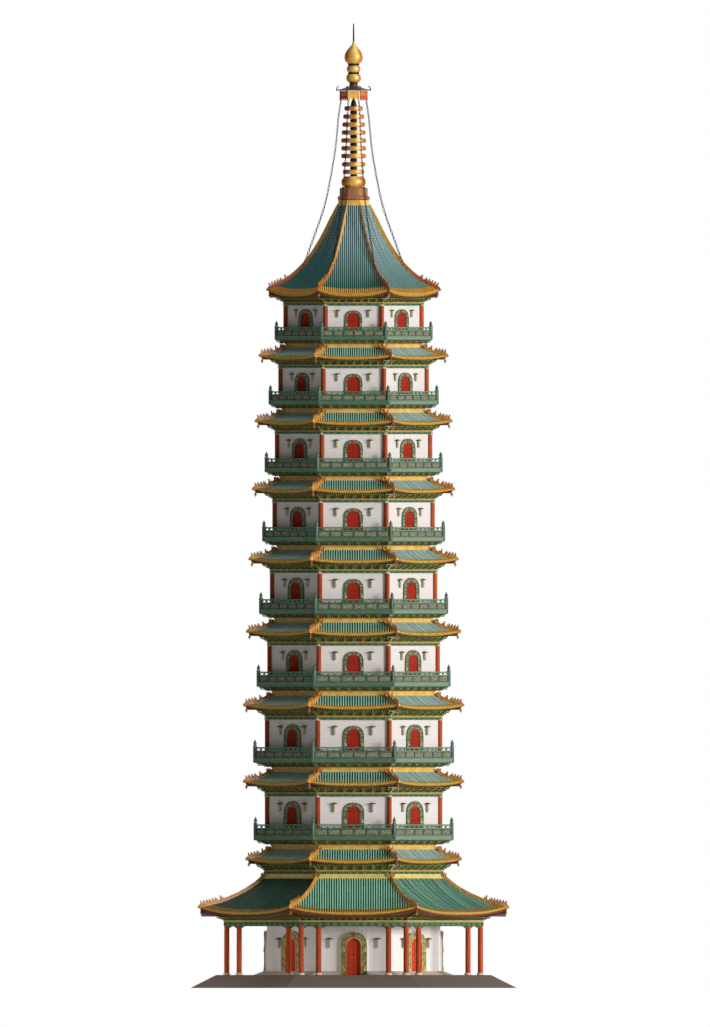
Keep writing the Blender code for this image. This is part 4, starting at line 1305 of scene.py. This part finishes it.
shade_bars = []
for storey in storeys:
    n, deck, a, s = storey["n"], storey["deck"], storey["rail"], storey["s"]
    half = a * TAN
    rails = [rail_ring(a, deck, *row, s) for row in ((0.0, 0.45, 0.95), (6.5, 7.7, 0.85), (10.3, 11.2, 0.8))]
    bay = 2 * half / 6.3
    dividers = (np.arange(7) - 3) * bay
    arches = (np.arange(12) - 5.5) * bay / 2
    uprights = (np.arange(13) - 6) * bay / 2
    baluster = box(-0.4 * STEP, 0.4 * STEP, -0.5 * STEP, 0.5 * STEP, 7.7 * s, 10.4 * s)
    little_arch = small_arch(bay * 0.2, 8.0 * s, 2.2 * s, 0.45 * STEP)
    face = [stamped(baluster, in_row(uprights, -a, deck)), stamped(little_arch, in_row(arches, -a, deck))]
    panel = box(-half, half, -a - 0.35 * STEP, -a + 0.35 * STEP, deck + 0.4 * s, deck + 6.5 * s)
    relief = stamped(box(-0.36 * bay, 0.36 * bay, -0.6 * STEP, 0, 1.3 * s, 5.6 * s),
                     in_row((np.arange(6) - 2.5) * bay, -a - 0.1 * STEP, deck))
    piece("railing_%d" % n, joined(rails + [eight(joined(face))]), RAIL_GREEN,
          stands_for=["storey_%d_railing" % n])
    piece("rail_panels_%d" % n, eight(joined([panel, relief])), PANEL)
    # The dividers, and two strips at the panels' top and foot, are near-black green bars that also stand for
    # the shade at the panels' edges: painted shade.
    upright = box(-0.5 * STEP, 0.5 * STEP, -0.7 * STEP, 0.7 * STEP, 0.6 * s, 6.5 * s)
    shade_bars.append(eight(stamped(upright, in_row(dividers, -a, deck))))
    shade_bars.append(rail_ring(a, deck, 5.9, 6.4, 0.75, s))
    shade_bars.append(rail_ring(a, deck, 0.4, 0.8, 0.75, s))
piece("rail_dividers_and_shade", joined(shade_bars), DIVIDER_AND_SHADE_GREEN)

POST_R = 1.95 * STEP
POST_ROWS = [(0, -4.5), (0.9, -4.5), (1.0, -3.9), (1.0, 11.4), (1.12, 11.6), (1.12, 12.4), (0.6, 12.7),
             (0.55, 13.3), (0.85, 13.8), (0.9, 14.8), (0.62, 16.4), (0.24, 18.0), (0, 19.0)]
posts = []
for storey in storeys:
    post = lathe([(r * POST_R, z * storey["s"]) for r, z in POST_ROWS], 8, math.pi / 8)
    posts.append(cornered(post, move(0, -storey["rail"] / COS, storey["deck"])))
piece("railing_posts", joined(posts), POST_GREEN, smooth=35)

# %% [markdown]
# Doorways
#
# Every face of every storey has a round-headed doorway in a painted surround with a keystone, and red
# doors with rows of studs. The surround is one profile carried up one side, round the arch and down
# the other, which keeps its raised edges even all the way.


# %% Arched surrounds
ARCH = np.linspace(0, math.pi, 13)
ARCH_POWER = 0.86


def arch_head(half, spring):
    """The head of a doorway, a little squarer than a half circle: cosine and sine to a power below 1."""
    flat = np.abs(np.cos(ARCH)) ** ARCH_POWER * np.sign(np.cos(ARCH))
    return half * flat, spring + half * np.abs(np.sin(ARCH)) ** ARCH_POWER


def arched_bar(half, spring, foot, a, wide, deep):
    """A flat bar up one side of a doorway, round its head and down the other side."""
    head_x, head_z = arch_head(half, spring)
    x = np.concatenate([[half], head_x, [-half]])
    z = np.concatenate([[foot], head_z, [foot]])
    side_x = np.concatenate([[1.0], np.cos(ARCH), [-1.0]])
    side_z = np.concatenate([[0.0], np.sin(ARCH), [0.0]])
    path = np.stack([x, np.full_like(x, -a), z], axis=-1)
    side = np.stack([side_x, np.zeros_like(x), side_z], axis=-1)
    return swept(path, side, -BACK, bar_section(wide / 2, -0.01, deep))


def keystone(half_low, half_high, low, high, a, deep):
    """A wedge that widens upwards, pushed a little out of the arch."""
    outline = [(-half_low, low), (half_low, low), (half_high, high), (-half_high, high)]
    return slab(outline, -a - deep, -a + 0.01)


def relief_figure(tall):
    """A small seated animal in relief, built of turned drops: body, head and a raised paw."""
    body = stamped(lathe([(0, 0), (0.3, 0.08), (0.36, 0.3), (0.2, 0.62), (0, 0.7)], 6),
                   [scale(1.0, 0.5, 1.0)])
    head = stamped(lathe([(0, 0.55), (0.2, 0.62), (0.24, 0.8), (0.12, 0.96), (0, 1.0)], 6),
                   [move(-0.12, 0, 0) @ scale(1.0, 0.6, 1.0)])
    paw = box(-0.4, -0.18, -0.12, 0.12, 0.1, 0.3)
    return stamped(joined([body, head, paw]), [scale(tall)])


ground_foot = float(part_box("plinth")[0][2])
plinth_top = 0.6885
ARCH_FACE_OUT = 0.081
LEAF_FACE_IN = 0.015
FIGURES = [(level(952.5), 6.2 * STEP), (level(971.5), 6.2 * STEP)]
places = []
for storey in storeys:
    deck, s = storey["deck"], storey["s"]
    half = 6.3 * STEP * (s / STEP) ** 0.4
    for faces, outer in ((FACES[0::2], 10.6 * s), (FACES[1::2], 12.0 * s)):
        places.append({"faces": faces, "a": storey["wall"], "half": half, "spring": deck + 28.6 * s - half,
                       "foot": deck, "outer": outer, "deep": 0.9 * STEP, "s": s,
                       "panel": storey["wall"] + 0.004, "figures": [(deck + 12.0 * s, 4.6 * s)],
                       "upper": True})
door_half, door_spring = 7.3 * STEP, 1.73
for faces, foot in ((FACES[:1], ground_foot), (FACES[1:], plinth_top)):
    places.append({"faces": faces, "a": GROUND_WALL + ARCH_FACE_OUT, "half": door_half,
                   "spring": door_spring, "foot": foot, "outer": 13.5 * STEP, "deep": 0.5 * STEP,
                   "s": STEP, "panel": GROUND_WALL - LEAF_FACE_IN, "figures": FIGURES, "upper": False})

frames = {True: [], False: []}
trims = {True: [], False: []}
keys = []
figures = []
blocks = []
boss = lathe([(0, -0.5), (0.5, -0.3), (0.6, 0), (0.5, 0.3), (0, 0.5)], 6)
for p in places:
    middle = (p["half"] + p["outer"]) / 2
    wide = p["outer"] - p["half"]
    spring, s = p["spring"], p["s"]
    frame_bar = arched_bar(middle, spring, p["foot"], p["a"], wide, p["deep"])
    frames[p["upper"]].append(stamped(frame_bar, p["faces"]))
    edge = 0.6 * s
    for half in (p["outer"] - edge / 2, p["half"] + edge / 2):
        bar = arched_bar(half, spring, p["foot"], p["a"] + p["deep"], edge, 0.012)
        trims[p["upper"]].append(stamped(bar, p["faces"]))
    wedge = keystone(0.8 * s, 1.2 * s, spring + p["half"] + 0.6 * s, spring + p["outer"] - 0.2 * s, p["a"],
                     p["deep"] + 0.02)
    keys.append(stamped(wedge, p["faces"]))
    front = -p["a"] - p["deep"]
    for z, tall in p["figures"]:
        for side in (-1, 1):
            spot = move(side * middle, front, z) @ scale(-side, 1, 1)
            figures.append(stamped(outward(stamped(relief_figure(tall), spot)), p["faces"]))
    for angle in np.radians((25, 60, 120, 155)):
        spot = move(middle * math.cos(angle), front, spring + middle * math.sin(angle))
        blocks.append(stamped(stamped(boss, spot @ scale(1.4 * s, 0.5 * s, 1.4 * s)), p["faces"]))
piece("door_surrounds", joined(frames[True]), SURROUND)
piece("ground_surrounds", joined(frames[False]), BRIGHTENED_GROUND_SURROUND)
piece("surround_edges", joined(trims[True]), POST_GREEN)
piece("surround_gold_lines", joined(trims[False]), YELLOW)
piece("keystones", joined(keys), KEYSTONE_RED)
piece("surround_figures", joined(figures), CREAM, smooth=60)
piece("surround_bosses", joined(blocks), CREAM, smooth=60)

# %% [markdown]
# Door leaves
#
# Red boards, a meeting line down the middle, rows of domed studs and a pair of ring plates. The shut
# doors of the upper storeys and of the rear are dressed in one go; the six that swing get their studs
# and rails as pieces of their own, which ride on their leaves.


# %% Studs and rails on the doors
def stud_dome(radius):
    """Half a ball as a low pyramid of two rings, its open side towards +Y, against the door."""
    sides = 5
    angles = np.arange(sides) * 2 * math.pi / sides
    ring = np.stack([np.cos(angles), np.zeros(sides), np.sin(angles)], axis=-1)
    rings = np.concatenate([ring * radius, ring * radius * 0.7 - [0, 0.55 * radius, 0]])
    points = np.concatenate([rings, [[0, -0.85 * radius, 0]]])
    k = np.arange(sides)
    nxt = np.roll(k, -1)
    quads = np.stack([k, nxt, nxt + sides, k + sides], axis=-1)
    tris = np.stack([k + sides, nxt + sides, np.full(sides, 2 * sides)], axis=-1)
    return outward(shape(points, quads, tris))


STUD_ROWS = 3.3
RAIL_HALF = 0.16


def stud_places(half, spring, foot, a, s):
    """Six studs to a row, kept inside the arch: x squared and height above the spring squared < r squared."""
    x = (np.arange(6) + 0.5) / 6 * 2 * half * 0.92 - half * 0.92
    z = np.arange(foot + 2.2 * s, spring + half, STUD_ROWS * s)
    x, z = (v.reshape(-1) for v in np.meshgrid(x, z))
    over = np.maximum(z - spring, 0)
    keep = np.hypot(x, over) < half * 0.88
    return np.stack([move(float(p), -a, float(q)) for p, q in zip(x[keep], z[keep])])


def rail_lines(half, spring, foot, s, share):
    """Heights of the rails between the rows of studs, and how far each runs inside the arch."""
    z = np.arange(foot + 0.6 * s, spring + half * 0.8, STUD_ROWS * s)
    return zip(np.sqrt(np.maximum(half ** 2 - np.maximum(z - spring, 0) ** 2, 0)) * share, z)


DOOR_SKIN = 0.012
door_skins = []
studs = []
for p in places:
    shut = p["faces"]
    if p["foot"] == ground_foot:
        continue
    if not p["upper"]:
        shut = FACES[2:7]
    half, spring, foot, a, s = p["half"], p["spring"], p["foot"], p["panel"], p["s"]
    outline = [(-half + 0.003, foot + 0.002), (half - 0.003, foot + 0.002)]
    outline += list(zip(*arch_head(half - 0.003, spring)))
    front = a + DOOR_SKIN
    skin = [slab(outline, -front, -a + 0.004)]
    skin += [box(-r, r, -front - 0.008, -front, v - RAIL_HALF * s, v + RAIL_HALF * s)
             for r, v in rail_lines(half, spring, foot, s, 0.97)]
    door_skins.append(stamped(joined(skin), shut))
    studs.append(stamped(stamped(stud_dome(0.42 * s), stud_places(half, spring, foot, front, s)), shut))
    seam = box(-0.12 * s, 0.12 * s, -a - 0.016, -a, foot, spring + half * 0.96)
    studs.append(stamped(seam, shut))
piece("shut_doors", joined(door_skins), DOOR_RED)
piece("door_studs", joined(studs), DOOR_RED)

LEAVES = {"front": 0, "right": 1, "left": 7}
LOWEST_LEAF = 0.5265
PLATE_HEIGHT = 1.22
FACE_OUT = np.array([[1, 0, 0, 0], [0, 0, -1, 0], [0, 1, 0, 0], [0, 0, 0, 1.0]])
plate = lathe([(0, -0.3), (1, -0.28), (0.8, 0.2), (0.25, 0.35), (0, 0.36)], 8)
a = GROUND_WALL - LEAF_FACE_IN
for side, face in LEAVES.items():
    foot = max(float(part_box("door_%s_leaf_right" % side)[0][2]), LOWEST_LEAF) + 0.012
    all_studs = stud_places(door_half, door_spring, foot, a, STEP)
    for hand, sign in (("right", 1), ("left", -1)):
        own = all_studs[np.sign(all_studs[:, 0, 3]) == sign]
        bars = [box(*sorted((0.012 * sign, r * sign)), -a - 0.007, -a + 0.002,
                    v - RAIL_HALF * STEP, v + RAIL_HALF * STEP)
                for r, v in rail_lines(door_half, door_spring, foot, STEP, 0.95)]
        spot = move(sign * 1.6 * STEP, -a, PLATE_HEIGHT) @ FACE_OUT
        spot = spot @ scale(0.8 * STEP, 0.8 * STEP, 0.5 * STEP)
        name = "door_%s_leaf_%s" % (side, hand)
        dressing = joined([stamped(stud_dome(0.42 * STEP), own)] + bars)
        piece(name.replace("door", "studs"), stamped(dressing, FACES[face]), BRIGHTENED_LEAF_RED, body=name)
        piece(name.replace("door", "plate"), stamped(outward(stamped(plate, spot)), FACES[face]), GILT,
              body=name)

# %% [markdown]
# Columns, feet and wall lamps
#
# Round red columns stand at the corners of each storey and, twenty-four of them, around the gallery.
# The gallery's columns swell a little towards the middle. A pale collar marks the head, and on the
# gallery a stone drum carries the foot. Beside the doors of six faces hang lamps: a flared dark cap
# over a slim body.


# %% Corner columns of the upper storeys
shafts = []
collars = []
for storey in storeys:
    deck, top, s = storey["deck"], storey["wall_top"], storey["s"]
    r = 2.4 * STEP
    corner = move(0, -storey["column"] / COS, 0)
    head = top + 0.2 * STEP
    shaft = lathe([(0, deck + 0.001), (r, deck + 0.001), (r, head), (0, head)], 14)
    shafts.append(cornered(shaft, corner))
    collar = lathe([(0, top - 0.8 * s), (r * 1.1, top - 0.7 * s), (r * 1.15, top + 0.2 * s),
                    (r * 1.2, top + 1.6 * s), (0, top + 1.6 * s)], 10)
    collars.append(cornered(collar, corner))
piece("corner_columns", joined(shafts), COLUMN_RED, smooth=40)
piece("column_collars", joined(collars), LAMP_BODY, smooth=40)

# %% The gallery's columns, beam and braces
COLUMN_LINE = 10.27 / 2
COLUMN_R = 2.65 * STEP
platform_top = float(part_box("platform")[1][2])
beam_low, beam_high = 2.50, 2.65
column_foot = platform_top + 2.2 * STEP
shaft = lathe([(r * COLUMN_R, z) for r, z in (
    (0, column_foot - 0.02), (1, column_foot - 0.02), (1.02, 1.4), (0.99, 2.2),
    (0.97, beam_low + 0.02), (0, beam_low + 0.02))], 16)
drum = lathe([(r * COLUMN_R, platform_top + z) for r, z in (
    (0, 0), (1.32, 0.0004), (1.4, 0.03), (1.3, 0.07), (1.06, 2.2 * STEP), (0, 2.2 * STEP))], 16)
stations = np.concatenate([FACES @ move(share * COLUMN_LINE * TAN, -COLUMN_LINE, 0)
                           for share in (-1.0, -2 / 3, 2 / 3)])
gallery_beam = ring_at(COLUMN_LINE, beam_low, beam_high - beam_low, [
    (-2.3, 0), (2.0, 0), (2.8, 0.2), (3.0, 0.5), (2.8, 0.8), (2.0, 1.0), (-2.3, 1.0)])
piece("gallery_columns", stamped(shaft, stations), GALLERY_RED, stands_for=["gallery_colonnade"], smooth=40)
piece("gallery_beam", gallery_beam, BEAM, smooth=40)
piece("column_drums", stamped(drum, stations), FOOT_STONE, smooth=40)

brace_outline = [(0, 0), (0, -2.4), (0.8, -2.2), (1.3, -1.5), (2.4, -1.2), (3.0, -0.6), (4.4, -0.4), (5.0, 0)]
braces = []
for x, sides in ((-1.0, (1,)), (-2 / 3, (-1, 1)), (2 / 3, (-1, 1)), (1.0, (-1,))):
    for sign in sides:
        outline = np.array([(COLUMN_R + v * STEP, beam_low + w * STEP + 0.004) for v, w in brace_outline])
        outline[:, 0] = x * COLUMN_LINE * TAN + sign * outline[:, 0]
        braces.append(slab(outline, -COLUMN_LINE - 0.9 * STEP, -COLUMN_LINE + 0.9 * STEP))
piece("gallery_braces", eight(joined(braces)), BEAM)


# %% Wall lamps
def wall_lamp(s):
    """The cap with its wall arm, and the body. Heights are in steps above the lamp's foot."""
    cap = [(0, 10.2), (0.5, 10.0), (0.8, 9.5), (3.4, 9.2), (3.6, 8.5), (1.7, 8.2), (0, 8.2)]
    body = [(0, 0.0), (0.5, 0.1), (1.0, 0.9), (1.3, 1.8), (1.5, 7.0), (1.3, 8.3), (0, 8.3)]
    arm = box(-0.35, 0.35, -0.2, 2.4, 7.4, 8.2)
    cap = joined([lathe(cap, 8, math.pi / 8), arm])
    return stamped(cap, scale(s)), stamped(lathe(body, 8, math.pi / 8), scale(s))


caps = []
bodies = []
LAMP_FACES = FACES[[0, 1, 3, 4, 5, 7]]
lamp_rows = [(st["wall"], st["deck"] + 23.0 * st["s"], 19.2 * st["s"], st["s"], 0.9) for st in storeys]
lamp_rows.append((GROUND_WALL, level(948.4), 24.0 * STEP, STEP * 1.08, 0.73))
for a, z, offset, s, nearer in lamp_rows:
    cap, body = wall_lamp(s)
    for share, faces in ((1.0, LAMP_FACES[[0, 3]]), (nearer, LAMP_FACES[[1, 2, 4, 5]])):
        spots = in_row((-offset * share, offset * share), -a - 1.7 * s, z)
        caps.append(stamped(stamped(cap, spots), faces))
        bodies.append(stamped(stamped(body, spots), faces))
piece("lamp_caps", joined(caps), LAMP_DARK, smooth=35)
piece("lamp_bodies", joined(bodies), LAMP_BODY, smooth=35)


# %% Wind bells
def wind_bell():
    """A small bell on its hanger, one unit tall: a flared cup, a loop and a clapper plate."""
    cup = lathe([(0, 0.62), (0.12, 0.6), (0.2, 0.5), (0.24, 0.25), (0.34, 0.1), (0.3, 0.1), (0, 0.4)], 8)
    stem = lathe([(0, 0.58), (0.04, 0.6), (0.04, 1.0), (0, 1.0)], 5)
    clapper = box(-0.13, 0.13, -0.02, 0.02, -0.22, 0.02)
    line = box(-0.015, 0.015, -0.015, 0.015, 0.0, 0.42)
    return joined([cup, stem, clapper, line])


bells = []
tall = 5.0 * STEP
for roof in roofs:
    tip = roof["rows"][-1]
    spot = move(0, -(tip[2] - 0.8 * STEP) / COS, tip[3] - 2.6 * STEP - tall * 0.9) @ scale(tall)
    bells.append(cornered(wind_bell(), spot))
piece("wind_bells", joined(bells), BRONZE, smooth=50)

# %% Beams and knobs under the corners of the eaves
beam_ends = []
knobs = []
knob = stamped(lathe([(0, -1.1), (0.5, -0.8), (0.7, -0.1), (0.4, 0.6), (0, 0.8)], 6), scale(STEP))
for roof in roofs:
    low, rise = roof["eave_low"]
    corner = roof["corner"]
    run = [(roof["wall"] + 6.0 * STEP, low + 0.1 * rise), (corner - 2.2 * STEP, low + 0.72 * rise),
           (corner - 0.3 * STEP, low + 1.02 * rise + 0.9 * STEP)]
    path = [[0, -a / COS, z] for a, z in run]
    section = bar_section(STEP, -0.8 * STEP, 0.6 * STEP)
    beam_ends.append(cornered(swept(path, RIGHT, UP, section, [1.0, 1.0, 0.7])))
    knobs.append(cornered(knob, move(0, path[2][1] + 1.0 * STEP, path[2][2] - 1.3 * STEP)))
piece("corner_beams", joined(beam_ends), EAVE_RED)
piece("corner_knobs", joined(knobs), CREAM, smooth=60)

# %% [markdown]
# The spire
#
# Above the pointed roof stand a bronze basin, a gilt base ring, nine discs that grow and shrink again,
# a small canopy with curled corners, and a finial of gourd-like beads. All of it is turned work except
# the canopy, whose eight sides carry panels and hanging drops.


# %% Discs and beads
def turned_readings(rows, sides=24):
    """Readings off the elevation, (radius, level) in steps, turned round the mast."""
    return lathe([(r * STEP, level(y)) for r, y in rows], sides)


def mirrored(half, r, y, sides=24):
    """A turned shape that is the same above and below a level, from its lower half's readings."""
    rows = [(r + dr if dr is not None else 0, dy) for dr, dy in half]
    return turned_readings([(q, y + dy) for q, dy in rows] + [(q, y - dy) for q, dy in rows[::-1]], sides)


discs = [(171.9, 10.8), (164.3, 11.7), (156.0, 12.4), (148.3, 12.4), (140.5, 12.5), (132.5, 11.9),
         (124.6, 11.3), (116.6, 10.5), (108.4, 9.3)]
DISC_EDGE = [(None, 2.3), (-1.1, 2.3), (-0.3, 1.7), (0, 0.6)]
piece("spire_discs", joined([mirrored(DISC_EDGE, r, y) for y, r in discs]), GILT,
      stands_for=["spire_rings"], smooth=35)
gaps = [176.0] + [(a[0] + b[0]) / 2 for a, b in zip(discs, discs[1:])]
BEAD_EDGE = [(None, 2.2), (-1.2, 2.0), (0, 0.8)]
beads = [mirrored(BEAD_EDGE, 3.6, y, 12) for y in gaps]
cone = turned_readings([(0, 108.0), (3.2, 106.2), (2.6, 103.0), (1.2, 98.0), (1.0, 91.0), (0, 91.0)], 12)
piece("spire_beads", joined(beads + [cone]), BLACK, smooth=40)
base = [turned_readings([(0, 187.0), (8.8, 187.0), (9.2, 186.2), (11.2, 185.6), (12.2, 183.6), (12.2, 180.4),
                         (11.2, 178.4), (9.0, 177.9), (0, 177.9)]),
        turned_readings([(0, 178.2), (9.4, 178.2), (10.0, 177.4), (9.2, 176.4), (0, 176.2)])]
piece("spire_base_ring", joined(base), GILT_PALE, smooth=35)

# %% Canopy with curled corners
canopy = ring_at(0, level(0), -STEP, [(2.0, 86.0), (4.6, 86.2), (9.0, 87.8), (13.0, 89.2), (15.4, 89.4),
                                      (15.4, 90.6), (2.0, 90.6)])
scroll_t = np.linspace(0, 1, 12)
scroll_r = (15.0 + 1.9 * np.sin(scroll_t * 1.5 * math.pi) * (1 - 0.3 * scroll_t) + 1.0 * scroll_t) / COS
scroll_y = 89.9 - 3.4 * scroll_t + 1.2 * np.sin(scroll_t * 2 * math.pi)
path = np.stack([np.zeros(12), -scroll_r * STEP, level(scroll_y)], axis=-1)
section = bar_section(0.8 * STEP, -0.5 * STEP, 0.5 * STEP)
scroll = cornered(swept(path, RIGHT, normals_up(path), section, np.linspace(1.0, 0.5, 12)))
collar = turned_readings([(0, 86.9), (4.8, 86.9), (4.2, 85.0), (3.9, 83.2), (0, 83.0)], 12)
piece("canopy_roof", joined([canopy, scroll, collar]), DARK_BRONZE, stands_for=["spire_canopy"],
      smooth=35)
valance_a = 13.4 * STEP
panel_half = valance_a * TAN
scallops = np.linspace(-panel_half * 0.96, panel_half * 0.96, 5)
lip = level(97.0)
wide = scallops[1] - scallops[0]
drop = slab([(-wide * 0.5, level(91.0)), (wide * 0.5, level(91.0)), (wide * 0.5, lip),
             (wide * 0.28, level(99.2)), (0, level(100.8)), (-wide * 0.28, level(99.2)),
             (-wide * 0.5, lip)], -valance_a - 0.35 * STEP, -valance_a + 0.35 * STEP)
face_of_valance = stamped(drop, in_row(scallops[:-1] + wide / 2, 0, 0))
inset = box(-panel_half * 0.7, panel_half * 0.7, -valance_a - 0.55 * STEP, -valance_a, level(95.6),
            level(92.4))
piece("valance_gold", stamped(face_of_valance, FACES[0::2]), YELLOW)
piece("valance_red", stamped(face_of_valance, FACES[1::2]), KEYSTONE_RED)
piece("canopy_panels", stamped(inset, FACES[1::2]), ORANGE)
edge_post = turned_readings([(0, 101.2), (0.7, 100.6), (0.6, 91.0), (0, 90.6)], 6)
piece("canopy_posts", cornered(edge_post, move(0, -valance_a / COS, 0)), GILT)

# %% Finial: mast, gourd and beads
mast = turned_readings([(0, 23.4), (0.55, 23.6), (0.75, 30.0), (0.8, 38.0), (0.85, 42.8), (0, 43.0)], 10)
gourd = [(0, 41.6), (0.9, 41.8), (1.3, 43.0), (2.2, 45.0), (4.4, 47.6), (7.2, 50.8), (8.8, 54.4),
         (9.2, 57.6), (8.7, 60.4), (7.3, 62.4), (5.2, 63.8), (0, 63.8)]
bead = [(0, 65.2), (5.0, 65.4), (6.4, 66.6), (6.9, 69.0), (6.4, 71.2), (5.0, 72.4), (0, 72.4)]
lower_bead = [(0, 73.9), (5.2, 73.9), (6.9, 75.4), (7.4, 78.0), (6.9, 80.6), (5.0, 82.3), (0, 82.3)]
finial = [turned_readings(rows) for rows in (gourd, bead, lower_bead)]
piece("finial_gourd", joined(finial), GILT_PALE, stands_for=["spire_finial"], smooth=50)
piece("finial_mast", mast, IRON, smooth=50)
necks = [turned_readings([(0, 63.4), (5.6, 63.6), (5.8, 64.6), (5.2, 65.6), (0, 65.8)], 16),
         turned_readings([(0, 72.2), (5.4, 72.3), (5.8, 73.2), (5.4, 74.2), (0, 74.2)], 16),
         turned_readings([(0, 82.0), (4.4, 82.0), (3.9, 84.5), (4.2, 86.8), (0, 86.9)], 16)]
piece("finial_necks", joined(necks), BLACK, smooth=40)


# %% Chains
def chain_link(long, wide, thick):
    """A flat oval ring: a square bar carried round an oval, long along Z."""
    t = np.arange(8) * 2 * math.pi / 8
    path = np.stack([wide * np.cos(t), np.zeros(8), long * np.sin(t)], axis=-1)
    side = np.stack([np.cos(t), np.zeros(8), np.sin(t)], axis=-1)
    return swept(path, side, BACK, bar_section(thick, -thick, thick), closed=True)


CHAIN = [(12.4, 99), (15.2, 118), (18.1, 148), (23.1, 178), (28.1, 202), (33.6, 220), (40.1, 238),
         (49.0, 262), (53.5, 268.5)]
LINK_PITCH = 2.1 * STEP
fine = smooth_between(CHAIN, np.linspace(0, 1, 200))
line = np.stack([np.zeros(200), -fine[:, 0] * STEP / COS, level(fine[:, 1])], axis=-1)
run = way_along(line)
at = np.arange(0, run[-1], LINK_PITCH)
spots = np.stack([np.interp(at, run, line[:, k]) for k in range(3)], axis=-1)
ahead = np.stack([np.interp(at + 0.01, run, line[:, k]) for k in range(3)], axis=-1) - spots
lean = np.arctan2(-ahead[:, 1], -ahead[:, 2])
links = []
for k, (spot, angle) in enumerate(zip(spots, lean)):
    c, s = math.cos(angle), math.sin(angle)
    tip = np.array([[1, 0, 0, spot[0]], [0, c, -s, spot[1]], [0, s, c, spot[2]], [0, 0, 0, 1.0]])
    links.append(tip @ turn_z(math.pi / 2 * (k % 2)))
link = chain_link(0.6 * LINK_PITCH, 0.8 * STEP, 0.22 * STEP)
piece("spire_chain_links", cornered(link, *links), BLACK, stands_for=["spire_chains"])
print("links on each chain", len(links))

# %% [markdown]
# Finishes for the solids that stay
#
# The platform, plinth, walls, floors, door leaves and basin keep their own solids; only their
# material changes.

# %% Dress the solids
FINISHES = [("platform", DARK_STONE), ("plinth", PALE_STONE), ("ground", FLUTED), ("_wall", WHITE),
            ("door", BRIGHTENED_LEAF_RED), ("_floor", DECK_BROWN), ("dew_basin", BASIN), ("", GILT)]
for name, node in frame["nodes"].items():
    finish = next(value for key, value in FINISHES if key in name)
    for slot in node.material_slots:
        slot.material = finish
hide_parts("great_skirt_roof")
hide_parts("storey_9_roof")
for n in range(1, 9):
    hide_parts("storey_%d_roof" % n)
print("solids dressed", len(frame["nodes"]))

# %% [markdown]
# Floor, light and camera
#
# A plain pale floor, bright even light from all round, and one warm lamp from the right, which is how
# the tower is lit. The view has no perspective, so the camera is orthographic; its scale is the height
# of the frame in metres, worked out from the measuring stick.

# %% Floor
bpy.ops.mesh.primitive_plane_add(size=600, location=(0, 0, -0.002))
floor = bpy.context.object
floor.name = "studio_floor"
pale = bpy.data.materials.new("studio floor")
pale.use_nodes = True
shader = pale.node_tree.nodes["Principled BSDF"]
shader.inputs["Base Color"].default_value = (0.9, 0.9, 0.9, 1)
shader.inputs["Roughness"].default_value = 0.9
floor.data.materials.append(pale)

# %% Light
world = bpy.data.worlds.new("studio")
bpy.context.scene.world = world
world.use_nodes = True
sky = world.node_tree
backdrop = sky.nodes["Background"]
backdrop.inputs["Color"].default_value = (1.0, 1.0, 1.0, 1)
soft = sky.nodes.new("ShaderNodeBackground")
soft.inputs["Color"].default_value = (1.0, 0.98, 0.96, 1)
soft.inputs["Strength"].default_value = 0.11
ray = sky.nodes.new("ShaderNodeLightPath")
choose = sky.nodes.new("ShaderNodeMixShader")
sky.links.new(ray.outputs["Is Camera Ray"], choose.inputs[0])
sky.links.new(soft.outputs[0], choose.inputs[1])
sky.links.new(backdrop.outputs[0], choose.inputs[2])
sky.links.new(choose.outputs[0], sky.nodes["World Output"].inputs["Surface"])


def held(name, data, location, turn):
    """An object in the scene that holds a lamp or the camera, at a place and turned by three angles."""
    holder = bpy.data.objects.new(name, data)
    bpy.context.scene.collection.objects.link(holder)
    holder.location = location
    holder.rotation_euler = turn
    return holder


def sun(name, energy, spread, height, turn):
    """A far lamp: height above the horizon and turn to the right of the front, in degrees."""
    lamp = bpy.data.lights.new(name, "SUN")
    lamp.energy = energy
    lamp.angle = math.radians(spread)
    lamp.color = (1.0, 0.975, 0.95)
    held(name, lamp, (0, 0, 0), (math.radians(90 - height), 0, math.radians(turn)))


sun("key", 2.8, 18, 6, 54)
sun("top", 0.75, 60, 70, 50)
sun("rear_fill", 1.0, 30, 8, 180)


def low_panel(name, energy, turn):
    """A wide low soft box near the ground, turn degrees to the right of the front, aimed at the axis."""
    lamp = bpy.data.lights.new(name, "AREA")
    lamp.shape = "RECTANGLE"
    lamp.size = 6.0
    lamp.size_y = 1.0
    lamp.spread = math.radians(50)
    lamp.energy = energy
    a = math.radians(turn)
    holder = held(name, lamp, (13.5 * math.sin(a), -13.5 * math.cos(a), 0.8), (math.pi / 2, 0, a))
    holder.visible_camera = False
    holder.visible_glossy = False


low_panel("low_left", 30.0, -65)
low_panel("low_front", 6.0, 0)
low_panel("low_right", 26.0, 65)
print("lit")

# %% Camera
FRAME_STEPS = 1027.0
FRAME_MIDDLE, TOWER_MIDDLE = 355.0, 353.6
camera = bpy.data.cameras.new("camera")
camera.type = "ORTHO"
camera.ortho_scale = FRAME_STEPS * STEP
camera.clip_end = 500.0
spot = ((FRAME_MIDDLE - TOWER_MIDDLE) * STEP, -120.0, level(FRAME_STEPS / 2))
bpy.context.scene.camera = held("camera", camera, spot, (math.pi / 2, 0, 0))
bpy.context.scene.view_settings.view_transform = "Standard"
